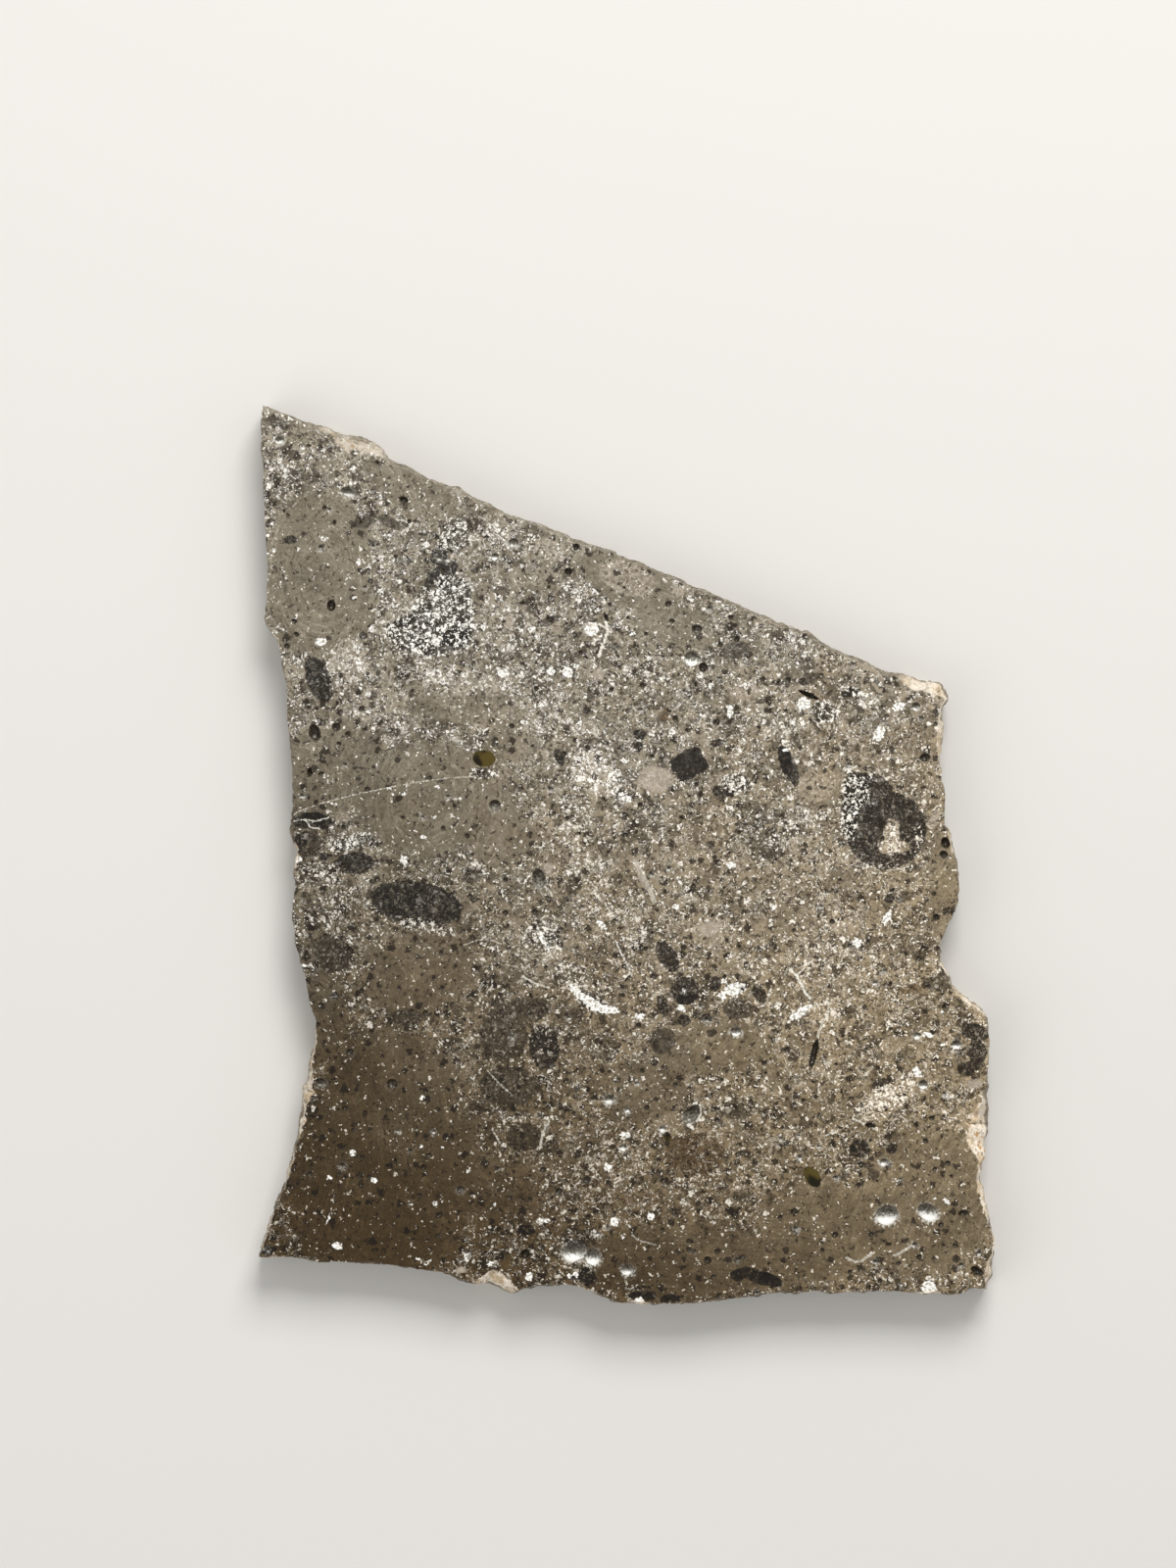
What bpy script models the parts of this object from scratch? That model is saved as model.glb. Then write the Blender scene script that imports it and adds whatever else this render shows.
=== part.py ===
"""Slice of a lunar meteorite: dark breccia, sawn flat on both sides, lying on its back.

Frame: +X to the right across the polished face, +Y towards the pointed corner of
its long edge, +Z up out of the face. The origin is under the middle of the slice,
on its underside.
"""

import math

import bmesh
import bpy
from mathutils import Euler, Vector, noise

MM = 0.001

# Driving dimensions.
SLICE_LENGTH = 36.86 * MM
SLICE_THICKNESS = 2.0 * MM

# The broken wall round the slice.
WALL_STEP = 0.50 * MM
WALL_RELIEF = 0.30 * MM
WALL_LUMP = 0.9 * MM
WALL_GRAIN = 0.35 * MM
WALL_LEVELS = (0.0, 0.36, 0.72, 1.0)
CHAMFER_LEVELS = (0.55, 1.0)
CHAMFER_SLOPE = 0.75
CHAMFER_LEAST_DEPTH = 0.12 * MM
CHAMFER_MOST_DEPTH = 1.05 * MM
CHAMFER_BULGE = 0.12
UNDERSIDE_RIM = 0.10 * MM
LEAST_SIDE = 0.25
EASING = 0.8
EASING_ROUNDS = 30

# Open bubbles and slits that the saw cut through.
PIT_MARGIN = 0.12
PIT_ROUGHNESS = 0.16
SMALL_PIT = 0.62 * MM

# The outline is read on a sheet ruled in equal steps, the slice's length being the
# steps between its highest and lowest points. Each point is (steps to the right,
# steps down, width of the broken rim between this outline and the polished face).
LEFT_EDGE = (
    (267, 412, 1.5), (265.5, 430, 1), (265.5, 459, 1), (267.5, 468, 1), (267, 490, 1),
    (268, 510, 1), (269.5, 535, 1), (270, 550, 1), (271.5, 570, 1), (272, 580, 1),
    (271, 600, 1), (270, 620, 1), (269, 630, 1), (271, 638, 1.5), (277, 648, 2),
    (281, 653, 2), (283, 659, 1.5), (286, 675, 1), (288, 685, 1), (291.5, 700, 1),
    (292, 710, 1), (291, 725, 1), (291.5, 735, 1), (294, 750, 1), (295.5, 770, 1),
    (298, 808, 1), (297.5, 820, 1), (296, 840, 1), (293.5, 846, 1.5), (294, 850, 2),
    (297.5, 860, 2), (301.5, 868, 3), (300, 880, 2), (298.5, 890, 1), (300, 907, 1),
    (297.5, 920, 1), (297.2, 940, 1), (299.5, 948, 1), (299.5, 960, 1), (302, 970, 1),
    (305.5, 985, 2), (309.5, 995, 1.5), (312.5, 1010, 1), (315, 1025, 1), (321, 1040, 1),
    (320, 1050, 2), (320, 1066, 1.5), (316, 1075, 3), (313, 1088, 4.5), (313, 1100, 5.5),
    (311.5, 1105, 7), (308, 1108, 10), (307, 1120, 8), (306, 1130, 4.5), (303.8, 1140, 7),
    (302.5, 1148, 5.5), (302, 1160, 2.5), (298.5, 1173, 3.5), (296, 1182, 3.5),
    (293.5, 1190, 2.5), (291, 1200, 2), (285, 1216, 3.5), (281, 1225, 2.5),
    (272.5, 1250, 2), (266.5, 1270, 2), (262.5, 1282, 2),
)
BOTTOM_EDGE = (
    (264, 1284, 1.5), (274.5, 1284.5, 1), (295, 1283.7, 1), (310, 1285, 1),
    (314.7, 1286.3, 1), (320, 1289.3, 1), (330, 1289.5, 1), (344.6, 1288.6, 1),
    (360, 1289.6, 1), (377, 1290.3, 2), (390, 1291.3, 1.5), (405, 1292.8, 1.5),
    (415, 1295, 1.5), (434, 1298, 1.5), (451, 1300, 2), (457.5, 1303.5, 3),
    (461, 1306.8, 4), (472, 1308.7, 3), (485.5, 1311, 2.5), (492, 1311.5, 8),
    (498.5, 1312.4, 13), (504, 1314.5, 15), (509.7, 1316.6, 17), (514, 1319, 16),
    (521, 1320.8, 10), (528, 1320.8, 4), (535, 1317.6, 3), (541.5, 1317.5, 3),
    (550, 1314.4, 3), (564, 1314.3, 3), (570, 1313.3, 3), (585, 1314.3, 2),
    (595.5, 1317, 2), (605, 1320.3, 2), (614, 1325, 3), (623.5, 1329.7, 2),
    (635, 1331.7, 2), (645, 1331.2, 3), (655, 1333.4, 4), (670, 1333, 2),
    (690, 1332, 1.5), (705, 1331.3, 1.5), (711, 1332, 2), (724, 1329.7, 2),
    (744, 1327.3, 2), (762, 1324.8, 2), (774, 1325.4, 3), (779, 1323, 2),
    (796, 1320.8, 2), (813, 1321.5, 2), (830.5, 1319, 2), (850, 1321.5, 2),
    (860.5, 1320.8, 2), (865, 1319, 1.5), (873, 1318.7, 1.5), (880, 1320.2, 2),
    (895, 1318.7, 1.5), (914, 1319.4, 1.5), (937, 1321.5, 2), (942, 1323.6, 4),
    (947, 1323.8, 4), (955, 1320.4, 2), (961, 1322.3, 1), (968, 1322.8, 1),
    (978, 1321.8, 1), (985.5, 1319.4, 1), (988.5, 1316.5, 1.5), (994, 1315.4, 1),
    (1007, 1318, 2), (1010.5, 1315.5, 4),
)
RIGHT_EDGE = (
    (1012.5, 1308, 7), (1014.3, 1302, 9), (1014.5, 1292, 7), (1015.3, 1281, 3),
    (1016, 1275, 2), (1017, 1268, 2), (1015.2, 1260, 2), (1012, 1248, 3),
    (1009, 1235, 4), (1007, 1223, 5), (1004.5, 1211, 6), (1001, 1204, 4),
    (1001, 1199, 3), (1003.5, 1194, 5), (1006.5, 1185, 8), (1006.5, 1177, 12),
    (1006.5, 1168, 20), (1009.5, 1157, 28), (1011, 1148, 28), (1010.8, 1140, 22),
    (1010.5, 1132, 13), (1010, 1125, 7), (1009, 1118, 6), (1010.8, 1109, 6),
    (1009, 1102, 3), (1010.5, 1090, 1.5), (1010.3, 1072, 1.5), (1011.3, 1062, 1.5),
    (1009.8, 1048, 1.5), (1008.5, 1039, 2), (1005, 1031, 3), (997, 1023.5, 4),
    (989, 1017.5, 7), (984, 1015.3, 4), (976, 1008, 3), (971.7, 1003, 2),
    (971.3, 998, 2), (966, 990, 2), (963, 985, 2), (961.3, 980, 1.5),
    (961, 968, 1.5), (961.2, 962, 1.5), (965.5, 953, 1.5), (969.5, 943, 1.5),
    (975.2, 930, 1.5), (979, 921, 1.5), (980.3, 911, 1.5), (980.5, 900, 1.5),
    (978.5, 888, 1.5), (977.5, 880, 2), (976, 869, 3), (973.5, 858, 5),
    (970.5, 848.5, 4), (965.8, 841, 2), (965.5, 823, 1.5), (966.8, 816, 1.5),
    (966, 809, 2), (963, 795, 2), (962.2, 783, 2), (961, 770, 3),
    (961.8, 762, 5), (964, 745, 6), (964.3, 741, 8), (962.8, 733, 4),
    (964, 723, 3), (965.2, 720.4, 3), (969, 714.5, 4), (969, 709, 8),
    (966.4, 703, 12), (962, 696.4, 14),
)
TOP_EDGE = (
    (955, 694.8, 14), (944, 692.8, 14), (934.4, 690.8, 12), (925, 687.7, 9),
    (920, 685.6, 6), (912, 685, 5), (906, 683.6, 5), (895, 679, 5), (882, 673.5, 5),
    (870, 668.5, 5), (858, 663.5, 5), (847, 658.5, 5), (837, 653, 5), (829, 645.5, 6),
    (824, 642.5, 6), (812, 641, 6), (807, 637.5, 5), (795, 633.5, 5), (783, 628.5, 5),
    (765, 620.5, 5), (746, 613, 4), (728, 605, 4), (718, 599.5, 4), (708, 596.5, 5),
    (699, 590, 5), (680, 583.5, 5), (667, 578.5, 5), (653, 572.5, 5), (641, 569.5, 5),
    (631, 564, 5), (626, 560, 5), (613, 556.5, 4), (600, 553, 4), (590, 549, 5),
    (583.5, 548, 6), (579, 544.5, 6), (564, 539, 6), (550, 533, 5), (536, 529.5, 5),
    (523, 524, 5), (504, 514.5, 5), (486, 508, 5), (473, 500, 5), (469, 496, 6),
    (465, 495, 6), (459, 495, 5), (453, 493, 4), (436, 486, 4), (424, 479, 5),
    (413, 472, 6), (402, 468.5, 6), (395, 464, 7), (391, 458, 8), (387, 454, 10),
    (380, 449, 15), (370, 443.5, 18), (360, 442, 16), (350, 441, 12), (340, 437, 9),
    (330, 434, 6), (320, 432, 4), (310, 428.5, 3), (300, 424, 3), (280, 417, 2),
    (270, 412.5, 1.5),
)

# Pits in the polished face: (steps right, steps down, length, width, turn of the
# length from +X in degrees, depth), the sizes and the depth in steps.
FACE_PITS = (
    (905, 1240, 23, 20, 20, 11), (947, 1237, 22, 17, -35, 10),
    (586, 1278, 24, 19, 15, 10), (605, 1283, 16, 17, 0, 9),
    (640, 1296, 13, 11, 0, 6), (622, 1122, 12, 9, 20, 6),
    (355, 502, 15, 9, -20, 7), (412, 510, 9, 7, -20, 5),
    (338, 618, 9, 12, 0, 6), (285, 449, 10, 8, 0, 5),
    (321, 748, 12, 18, 10, 7), (343, 742, 9, 9, 0, 4),
    (316, 788, 5, 10, 0, 6), (505, 822, 12, 12, 0, 5),
    (550, 897, 13, 22, 10, 5), (327, 1105, 11, 10, 0, 4),
    (400, 1106, 11, 10, 0, 4), (751, 1053, 11, 10, 0, 5),
    (706, 1137, 22, 14, 55, 6), (831, 1074.5, 28, 6, 77, 7),
    (888, 1148.5, 11, 5, -10, 5), (965, 860, 9, 12, 15, 7),
    (963, 872, 8, 9, 60, 5), (944, 773, 11, 9, 20, 5),
    (524, 554, 11, 10, 0, 5), (934.5, 721, 9, 9, 0, 4),
    (976, 1066, 10, 10, -30, 5), (942, 1107, 10, 10, 0, 5),
    (955.5, 936, 7, 7, 0, 4), (997, 1297, 14, 8, -30, 6),
    (983, 1238, 11, 6, 10, 4), (711, 642, 11, 10, 0, 5),
    (706, 672, 15, 16, 0, 6), (717.5, 681, 9, 10, 0, 5),
    (580, 583, 8, 8, 0, 5), (588, 557, 7, 10, -10, 4),
    (618.5, 630, 4, 9, 20, 4), (825, 709, 22, 5, -24, 7),
    (536, 1280, 10, 10, 0, 6), (722, 1286, 8, 8, 0, 4),
)
# Pits in the sawn underside, which no view shows, laid out like those of the face.
UNDERSIDE_PITS = (
    (352, 560, 16, 12, 25, 7), (470, 590, 9, 9, 0, 5), (610, 700, 12, 10, -30, 6),
    (860, 790, 20, 15, 40, 9), (900, 930, 10, 9, 0, 5), (420, 860, 14, 9, 70, 6),
    (350, 1010, 9, 12, 0, 6), (500, 1110, 22, 17, -10, 10), (745, 1190, 16, 13, 15, 8),
    (930, 1220, 11, 14, 0, 6), (395, 1230, 12, 10, -40, 6), (690, 1290, 10, 8, 0, 5),
)

BRECCIA_COLOUR = (0.115, 0.105, 0.090, 1.0)
BRECCIA_ROUGHNESS = 0.42


def sheet_frame():
    """Return the size of one step of the sheet and the middle of the outline on it."""
    across = [point[0] for point in OUTLINE]
    down = [point[1] for point in OUTLINE]
    step = SLICE_LENGTH / (max(down) - min(down))
    middle = Vector(((max(across) + min(across)) / 2, (max(down) + min(down)) / 2))
    return step, middle


OUTLINE = LEFT_EDGE + BOTTOM_EDGE + RIGHT_EDGE + TOP_EDGE
STEP, SHEET_MIDDLE = sheet_frame()


def from_sheet(right, down):
    """Turn a place on the ruled sheet into metres."""
    return Vector(((right - SHEET_MIDDLE.x) * STEP, (SHEET_MIDDLE.y - down) * STEP))


def clean_scene():
    """Remove whatever objects the file opens with."""
    for thing in list(bpy.data.objects):
        bpy.data.objects.remove(thing)


def new_collection(name):
    """Make a collection in the scene."""
    collection = bpy.data.collections.new(name)
    bpy.context.scene.collection.children.link(collection)
    return collection


def breccia_material():
    """Make the dark brown-grey stone of the slice."""
    material = bpy.data.materials.new("breccia")
    material.use_nodes = True
    shader = material.node_tree.nodes["Principled BSDF"]
    shader.inputs["Base Color"].default_value = BRECCIA_COLOUR
    shader.inputs["Roughness"].default_value = BRECCIA_ROUGHNESS
    shader.inputs["Metallic"].default_value = 0.0
    return material


def walk_outline():
    """Return the outline's places and rim widths, long sides split into even parts."""
    places = []
    rims = []
    for index, (right, down, rim) in enumerate(OUTLINE):
        following = OUTLINE[(index + 1) % len(OUTLINE)]
        start = from_sheet(right, down)
        end = from_sheet(following[0], following[1])
        parts = max(1, round((end - start).length / WALL_STEP))
        for part in range(parts):
            share = part / parts
            places.append(start.lerp(end, share))
            rims.append((rim + (following[2] - rim) * share) * STEP)
    return places, rims


def inward_directions(places):
    """Return at each place the direction into the slice, eased over its neighbours."""
    count = len(places)
    directions = []
    for index in range(count):
        along = Vector((0.0, 0.0))
        for reach in (1, 2, 3):
            side = places[(index + reach) % count] - places[(index - reach) % count]
            along += side.normalized() / reach
        directions.append(Vector((-along.y, along.x)).normalized())
    return directions


def wall_swing(place, height):
    """Return how far the broken wall stands back at a place, from lumps and grain."""
    point = Vector((place.x, place.y, height))
    lump = noise.noise(point / WALL_LUMP)
    grain = noise.noise(point / WALL_GRAIN + Vector((7.0, 3.0, 1.0)))
    return WALL_RELIEF * (0.5 + 0.65 * lump + 0.3 * grain)


def wall_profile(place, rim):
    """Return the heights and insets of the wall at one place, from the base up."""
    depth = min(CHAMFER_LEAST_DEPTH + CHAMFER_SLOPE * rim, CHAMFER_MOST_DEPTH)
    wall_top = SLICE_THICKNESS - depth
    heights = [level * wall_top for level in WALL_LEVELS]
    swings = [wall_swing(place, height) for height in heights]
    nearest = min(swings)
    insets = [swing - nearest for swing in swings]
    insets[0] += UNDERSIDE_RIM
    shoulder = insets[-1]
    for level in CHAMFER_LEVELS:
        heights.append(wall_top + level * depth)
        bulge = CHAMFER_BULGE * math.sin(math.pi * level)
        insets.append(shoulder + (rim - shoulder) * (level - bulge))
    return heights, insets


def ease_folds(places, inward, insets):
    """Draw a ring's points back towards the outline where the ring would fold over."""
    count = len(places)
    for _ in range(EASING_ROUNDS):
        folded = False
        for index in range(count):
            after = (index + 1) % count
            side = places[after] - places[index]
            eased = side + inward[after] * insets[after] - inward[index] * insets[index]
            if eased.dot(side) < LEAST_SIDE * side.dot(side):
                insets[index] *= EASING
                insets[after] *= EASING
                folded = True
        if not folded:
            break


def wall_rings(places, rims):
    """Return the rings of points that the wall is lofted through, from the base up."""
    inward = inward_directions(places)
    profiles = [wall_profile(place, rim) for place, rim in zip(places, rims)]
    rings = []
    for level in range(len(WALL_LEVELS) + len(CHAMFER_LEVELS)):
        insets = [profile[1][level] for profile in profiles]
        ease_folds(places, inward, insets)
        ring = []
        for place, into, inset, profile in zip(places, inward, insets, profiles):
            spot = place + into * inset
            ring.append(Vector((spot.x, spot.y, profile[0][level])))
        rings.append(ring)
    return rings


def build_plate(collection, material):
    """Loft the slice from its underside to its face through the rings of its wall."""
    places, rims = walk_outline()
    rings = wall_rings(places, rims)
    cage = bmesh.new()
    loops = [[cage.verts.new(point) for point in ring] for ring in rings]
    count = len(places)
    for lower, upper in zip(loops, loops[1:]):
        for index in range(count):
            after = (index + 1) % count
            cage.faces.new((lower[index], lower[after], upper[after], upper[index]))
    cage.faces.new(reversed(loops[0]))
    cage.faces.new(loops[-1])
    bmesh.ops.recalc_face_normals(cage, faces=cage.faces)
    mesh = bpy.data.meshes.new("meteorite_slice")
    cage.to_mesh(mesh)
    cage.free()
    mesh.materials.append(material)
    plate = bpy.data.objects.new("meteorite_slice", mesh)
    collection.objects.link(plate)
    return plate


def pit_cutter(collection, name, pit, face_height, side):
    """Make the lumpy ball that hollows one pit; side is 1 for the face, -1 below."""
    right, down, length, width, turn, depth = pit
    detail = 1 if max(length, width) * STEP < SMALL_PIT else 2
    ball = bmesh.new()
    bmesh.ops.create_icosphere(ball, subdivisions=detail, radius=1.0)
    place = from_sheet(right, down)
    for vertex in ball.verts:
        lump = noise.noise(vertex.co * 1.7 + Vector((place.x, place.y, 0.0)) / MM)
        vertex.co *= 1.0 + PIT_ROUGHNESS * lump
    mesh = bpy.data.meshes.new(name)
    ball.to_mesh(mesh)
    ball.free()
    cutter = bpy.data.objects.new(name, mesh)
    cutter.location = (place.x, place.y, face_height + side * PIT_MARGIN * depth * STEP)
    cutter.rotation_euler = Euler((0.0, 0.0, math.radians(turn)))
    grown = STEP * (1.0 + PIT_MARGIN)
    cutter.scale = (length / 2 * grown, width / 2 * grown, depth * grown)
    cutter.hide_render = True
    cutter.display_type = "WIRE"
    collection.objects.link(cutter)
    return cutter


def build():
    """Build the slice: the lofted plate with its open pits cut out."""
    clean_scene()
    parts = new_collection("lunar_meteorite_slice")
    cutters = new_collection("pit_cutters")
    plate = build_plate(parts, breccia_material())
    for number, pit in enumerate(FACE_PITS):
        pit_cutter(cutters, f"face_pit_{number:02d}", pit, SLICE_THICKNESS, 1)
    for number, pit in enumerate(UNDERSIDE_PITS):
        pit_cutter(cutters, f"underside_pit_{number:02d}", pit, 0.0, -1)
    carve = plate.modifiers.new("pits", "BOOLEAN")
    carve.operation = "DIFFERENCE"
    carve.operand_type = "COLLECTION"
    carve.collection = cutters
    carve.solver = "EXACT"


build()
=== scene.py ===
"""Looks of the lunar meteorite slice: its polished face, broken walls and sawn back.

The slice lies on its back. Lengths in metres unless a name says otherwise. Places on
the face are read on a sheet ruled in equal steps, u to the right and v downwards.
"""

import math
import random
from types import SimpleNamespace

import bpy
import numpy as np
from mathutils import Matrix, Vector, noise
from mathutils.geometry import delaunay_2d_cdt


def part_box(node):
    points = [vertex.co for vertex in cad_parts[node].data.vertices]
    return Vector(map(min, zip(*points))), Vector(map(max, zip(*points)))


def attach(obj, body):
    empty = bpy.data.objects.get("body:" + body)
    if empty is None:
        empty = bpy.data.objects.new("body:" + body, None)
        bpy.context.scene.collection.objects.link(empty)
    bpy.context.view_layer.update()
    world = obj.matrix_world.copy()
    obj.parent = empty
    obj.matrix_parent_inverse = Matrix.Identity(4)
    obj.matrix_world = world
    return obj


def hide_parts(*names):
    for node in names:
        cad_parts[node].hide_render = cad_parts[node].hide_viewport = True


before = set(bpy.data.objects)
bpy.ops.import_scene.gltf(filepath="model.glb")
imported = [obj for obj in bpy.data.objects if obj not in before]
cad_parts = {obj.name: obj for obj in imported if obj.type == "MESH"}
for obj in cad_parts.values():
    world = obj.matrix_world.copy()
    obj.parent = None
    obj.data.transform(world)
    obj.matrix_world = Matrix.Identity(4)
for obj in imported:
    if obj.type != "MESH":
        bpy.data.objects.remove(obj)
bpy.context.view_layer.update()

MM = 0.001
NODE = "meteorite_slice"
BOX_LOW, BOX_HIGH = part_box(NODE)
THICKNESS = BOX_HIGH.z - BOX_LOW.z

# How finely the visible mesh is laid.
FACE_SPACING = 0.142 * MM
BACK_SPACING = 0.30 * MM
WALL_SPACING = 0.105 * MM
WALL_ROWS = 8
CHAMFER_ROWS = 4

# The broken wall, as in the solid, and its finer breakage.
WALL_RELIEF = 0.30 * MM
WALL_LUMP = 0.9 * MM
WALL_GRAIN = 0.35 * MM
WALL_CRUMB = 0.11 * MM
CRUMB_RELIEF = 0.035 * MM
CHAMFER_SLOPE = 0.75
CHAMFER_LEAST_DEPTH = 0.12 * MM
CHAMFER_MOST_DEPTH = 1.05 * MM
CHAMFER_BULGE = 0.12
UNDERSIDE_RIM = 0.10 * MM

# The outline: (u, v, width of the broken rim between this outline and the face).
LEFT_EDGE = (
    (267, 412, 1.5), (265.5, 430, 1), (265.5, 459, 1), (267.5, 468, 1), (267, 490, 1),
    (268, 510, 1), (269.5, 535, 1), (270, 550, 1), (271.5, 570, 1), (272, 580, 1),
    (271, 600, 1), (270, 620, 1), (269, 630, 1), (271, 638, 1.5), (277, 648, 2),
    (281, 653, 2), (283, 659, 1.5), (286, 675, 1), (288, 685, 1), (291.5, 700, 1),
    (292, 710, 1), (291, 725, 1), (291.5, 735, 1), (294, 750, 1), (295.5, 770, 1),
    (298, 808, 1), (297.5, 820, 1), (296, 840, 1), (293.5, 846, 1.5), (294, 850, 2),
    (297.5, 860, 2), (301.5, 868, 3), (300, 880, 2), (298.5, 890, 1), (300, 907, 1),
    (297.5, 920, 1), (297.2, 940, 1), (299.5, 948, 1), (299.5, 960, 1), (302, 970, 1),
    (305.5, 985, 2), (309.5, 995, 1.5), (312.5, 1010, 1), (315, 1025, 1), (321, 1040, 1),
    (320, 1050, 2), (320, 1066, 1.5), (316, 1075, 3), (313, 1088, 4.5), (313, 1100, 5.5),
    (311.5, 1105, 7), (308, 1108, 10), (307, 1120, 8), (306, 1130, 4.5), (303.8, 1140, 7),
    (302.5, 1148, 5.5), (302, 1160, 2.5), (298.5, 1173, 3.5), (296, 1182, 3.5),
    (293.5, 1190, 2.5), (291, 1200, 2), (285, 1216, 3.5), (281, 1225, 2.5),
    (272.5, 1250, 2), (266.5, 1270, 2), (262.5, 1282, 2),
)
BOTTOM_EDGE = (
    (264, 1284, 1.5), (274.5, 1284.5, 1), (295, 1283.7, 1), (310, 1285, 1),
    (314.7, 1286.3, 1), (320, 1289.3, 1), (330, 1289.5, 1), (344.6, 1288.6, 1),
    (360, 1289.6, 1), (377, 1290.3, 2), (390, 1291.3, 1.5), (405, 1292.8, 1.5),
    (415, 1295, 1.5), (434, 1298, 1.5), (451, 1300, 2), (457.5, 1303.5, 3),
    (461, 1306.8, 4), (472, 1308.7, 3), (485.5, 1311, 2.5), (492, 1311.5, 8),
    (498.5, 1312.4, 13), (504, 1314.5, 15), (509.7, 1316.6, 17), (514, 1319, 16),
    (521, 1320.8, 10), (528, 1320.8, 4), (535, 1317.6, 3), (541.5, 1317.5, 3),
    (550, 1314.4, 3), (564, 1314.3, 3), (570, 1313.3, 3), (585, 1314.3, 2),
    (595.5, 1317, 2), (605, 1320.3, 2), (614, 1325, 3), (623.5, 1329.7, 2),
    (635, 1331.7, 2), (645, 1331.2, 3), (655, 1333.4, 4), (670, 1333, 2),
    (690, 1332, 1.5), (705, 1331.3, 1.5), (711, 1332, 2), (724, 1329.7, 2),
    (744, 1327.3, 2), (762, 1324.8, 2), (774, 1325.4, 3), (779, 1323, 2),
    (796, 1320.8, 2), (813, 1321.5, 2), (830.5, 1319, 2), (850, 1321.5, 2),
    (860.5, 1320.8, 2), (865, 1319, 1.5), (873, 1318.7, 1.5), (880, 1320.2, 2),
    (895, 1318.7, 1.5), (914, 1319.4, 1.5), (937, 1321.5, 2), (942, 1323.6, 4),
    (947, 1323.8, 4), (955, 1320.4, 2), (961, 1322.3, 1), (968, 1322.8, 1),
    (978, 1321.8, 1), (985.5, 1319.4, 1), (988.5, 1316.5, 1.5), (994, 1315.4, 1),
    (1007, 1318, 2), (1010.5, 1315.5, 4),
)
RIGHT_EDGE = (
    (1012.5, 1308, 7), (1014.3, 1302, 9), (1014.5, 1292, 7), (1015.3, 1281, 3),
    (1016, 1275, 2), (1017, 1268, 2), (1015.2, 1260, 2), (1012, 1248, 3),
    (1009, 1235, 4), (1007, 1223, 5), (1004.5, 1211, 6), (1001, 1204, 4),
    (1001, 1199, 3), (1003.5, 1194, 5), (1006.5, 1185, 8), (1006.5, 1177, 12),
    (1006.5, 1168, 20), (1009.5, 1157, 28), (1011, 1148, 28), (1010.8, 1140, 22),
    (1010.5, 1132, 13), (1010, 1125, 7), (1009, 1118, 6), (1010.8, 1109, 6),
    (1009, 1102, 3), (1010.5, 1090, 1.5), (1010.3, 1072, 1.5), (1011.3, 1062, 1.5),
    (1009.8, 1048, 1.5), (1008.5, 1039, 2), (1005, 1031, 3), (997, 1023.5, 4),
    (989, 1017.5, 7), (984, 1015.3, 4), (976, 1008, 3), (971.7, 1003, 2),
    (971.3, 998, 2), (966, 990, 2), (963, 985, 2), (961.3, 980, 1.5),
    (961, 968, 1.5), (961.2, 962, 1.5), (965.5, 953, 1.5), (969.5, 943, 1.5),
    (975.2, 930, 1.5), (979, 921, 1.5), (980.3, 911, 1.5), (980.5, 900, 1.5),
    (978.5, 888, 1.5), (977.5, 880, 2), (976, 869, 3), (973.5, 858, 5),
    (970.5, 848.5, 4), (965.8, 841, 2), (965.5, 823, 1.5), (966.8, 816, 1.5),
    (966, 809, 2), (963, 795, 2), (962.2, 783, 2), (961, 770, 3),
    (961.8, 762, 5), (964, 745, 6), (964.3, 741, 8), (962.8, 733, 4),
    (964, 723, 3), (965.2, 720.4, 3), (969, 714.5, 4), (969, 709, 8),
    (966.4, 703, 12), (962, 696.4, 14),
)
TOP_EDGE = (
    (955, 694.8, 14), (944, 692.8, 14), (934.4, 690.8, 12), (925, 687.7, 9),
    (920, 685.6, 6), (912, 685, 5), (906, 683.6, 5), (895, 679, 5), (882, 673.5, 5),
    (870, 668.5, 5), (858, 663.5, 5), (847, 658.5, 5), (837, 653, 5), (829, 645.5, 6),
    (824, 642.5, 6), (812, 641, 6), (807, 637.5, 5), (795, 633.5, 5), (783, 628.5, 5),
    (765, 620.5, 5), (746, 613, 4), (728, 605, 4), (718, 599.5, 4), (708, 596.5, 5),
    (699, 590, 5), (680, 583.5, 5), (667, 578.5, 5), (653, 572.5, 5), (641, 569.5, 5),
    (631, 564, 5), (626, 560, 5), (613, 556.5, 4), (600, 553, 4), (590, 549, 5),
    (583.5, 548, 6), (579, 544.5, 6), (564, 539, 6), (550, 533, 5), (536, 529.5, 5),
    (523, 524, 5), (504, 514.5, 5), (486, 508, 5), (473, 500, 5), (469, 496, 6),
    (465, 495, 6), (459, 495, 5), (453, 493, 4), (436, 486, 4), (424, 479, 5),
    (413, 472, 6), (402, 468.5, 6), (395, 464, 7), (391, 458, 8), (387, 454, 10),
    (380, 449, 15), (370, 443.5, 18), (360, 442, 16), (350, 441, 12), (340, 437, 9),
    (330, 434, 6), (320, 432, 4), (310, 428.5, 3), (300, 424, 3), (280, 417, 2),
    (270, 412.5, 1.5),
)
OUTLINE = LEFT_EDGE + BOTTOM_EDGE + RIGHT_EDGE + TOP_EDGE

# The sheet's steps, from the solid's length and the outline's highest and lowest points.
ACROSS = [point[0] for point in OUTLINE]
DOWN = [point[1] for point in OUTLINE]
STEP = 36.86 * MM / (max(DOWN) - min(DOWN))
MIDDLE_U = (max(ACROSS) + min(ACROSS)) / 2
MIDDLE_V = (max(DOWN) + min(DOWN)) / 2

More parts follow.
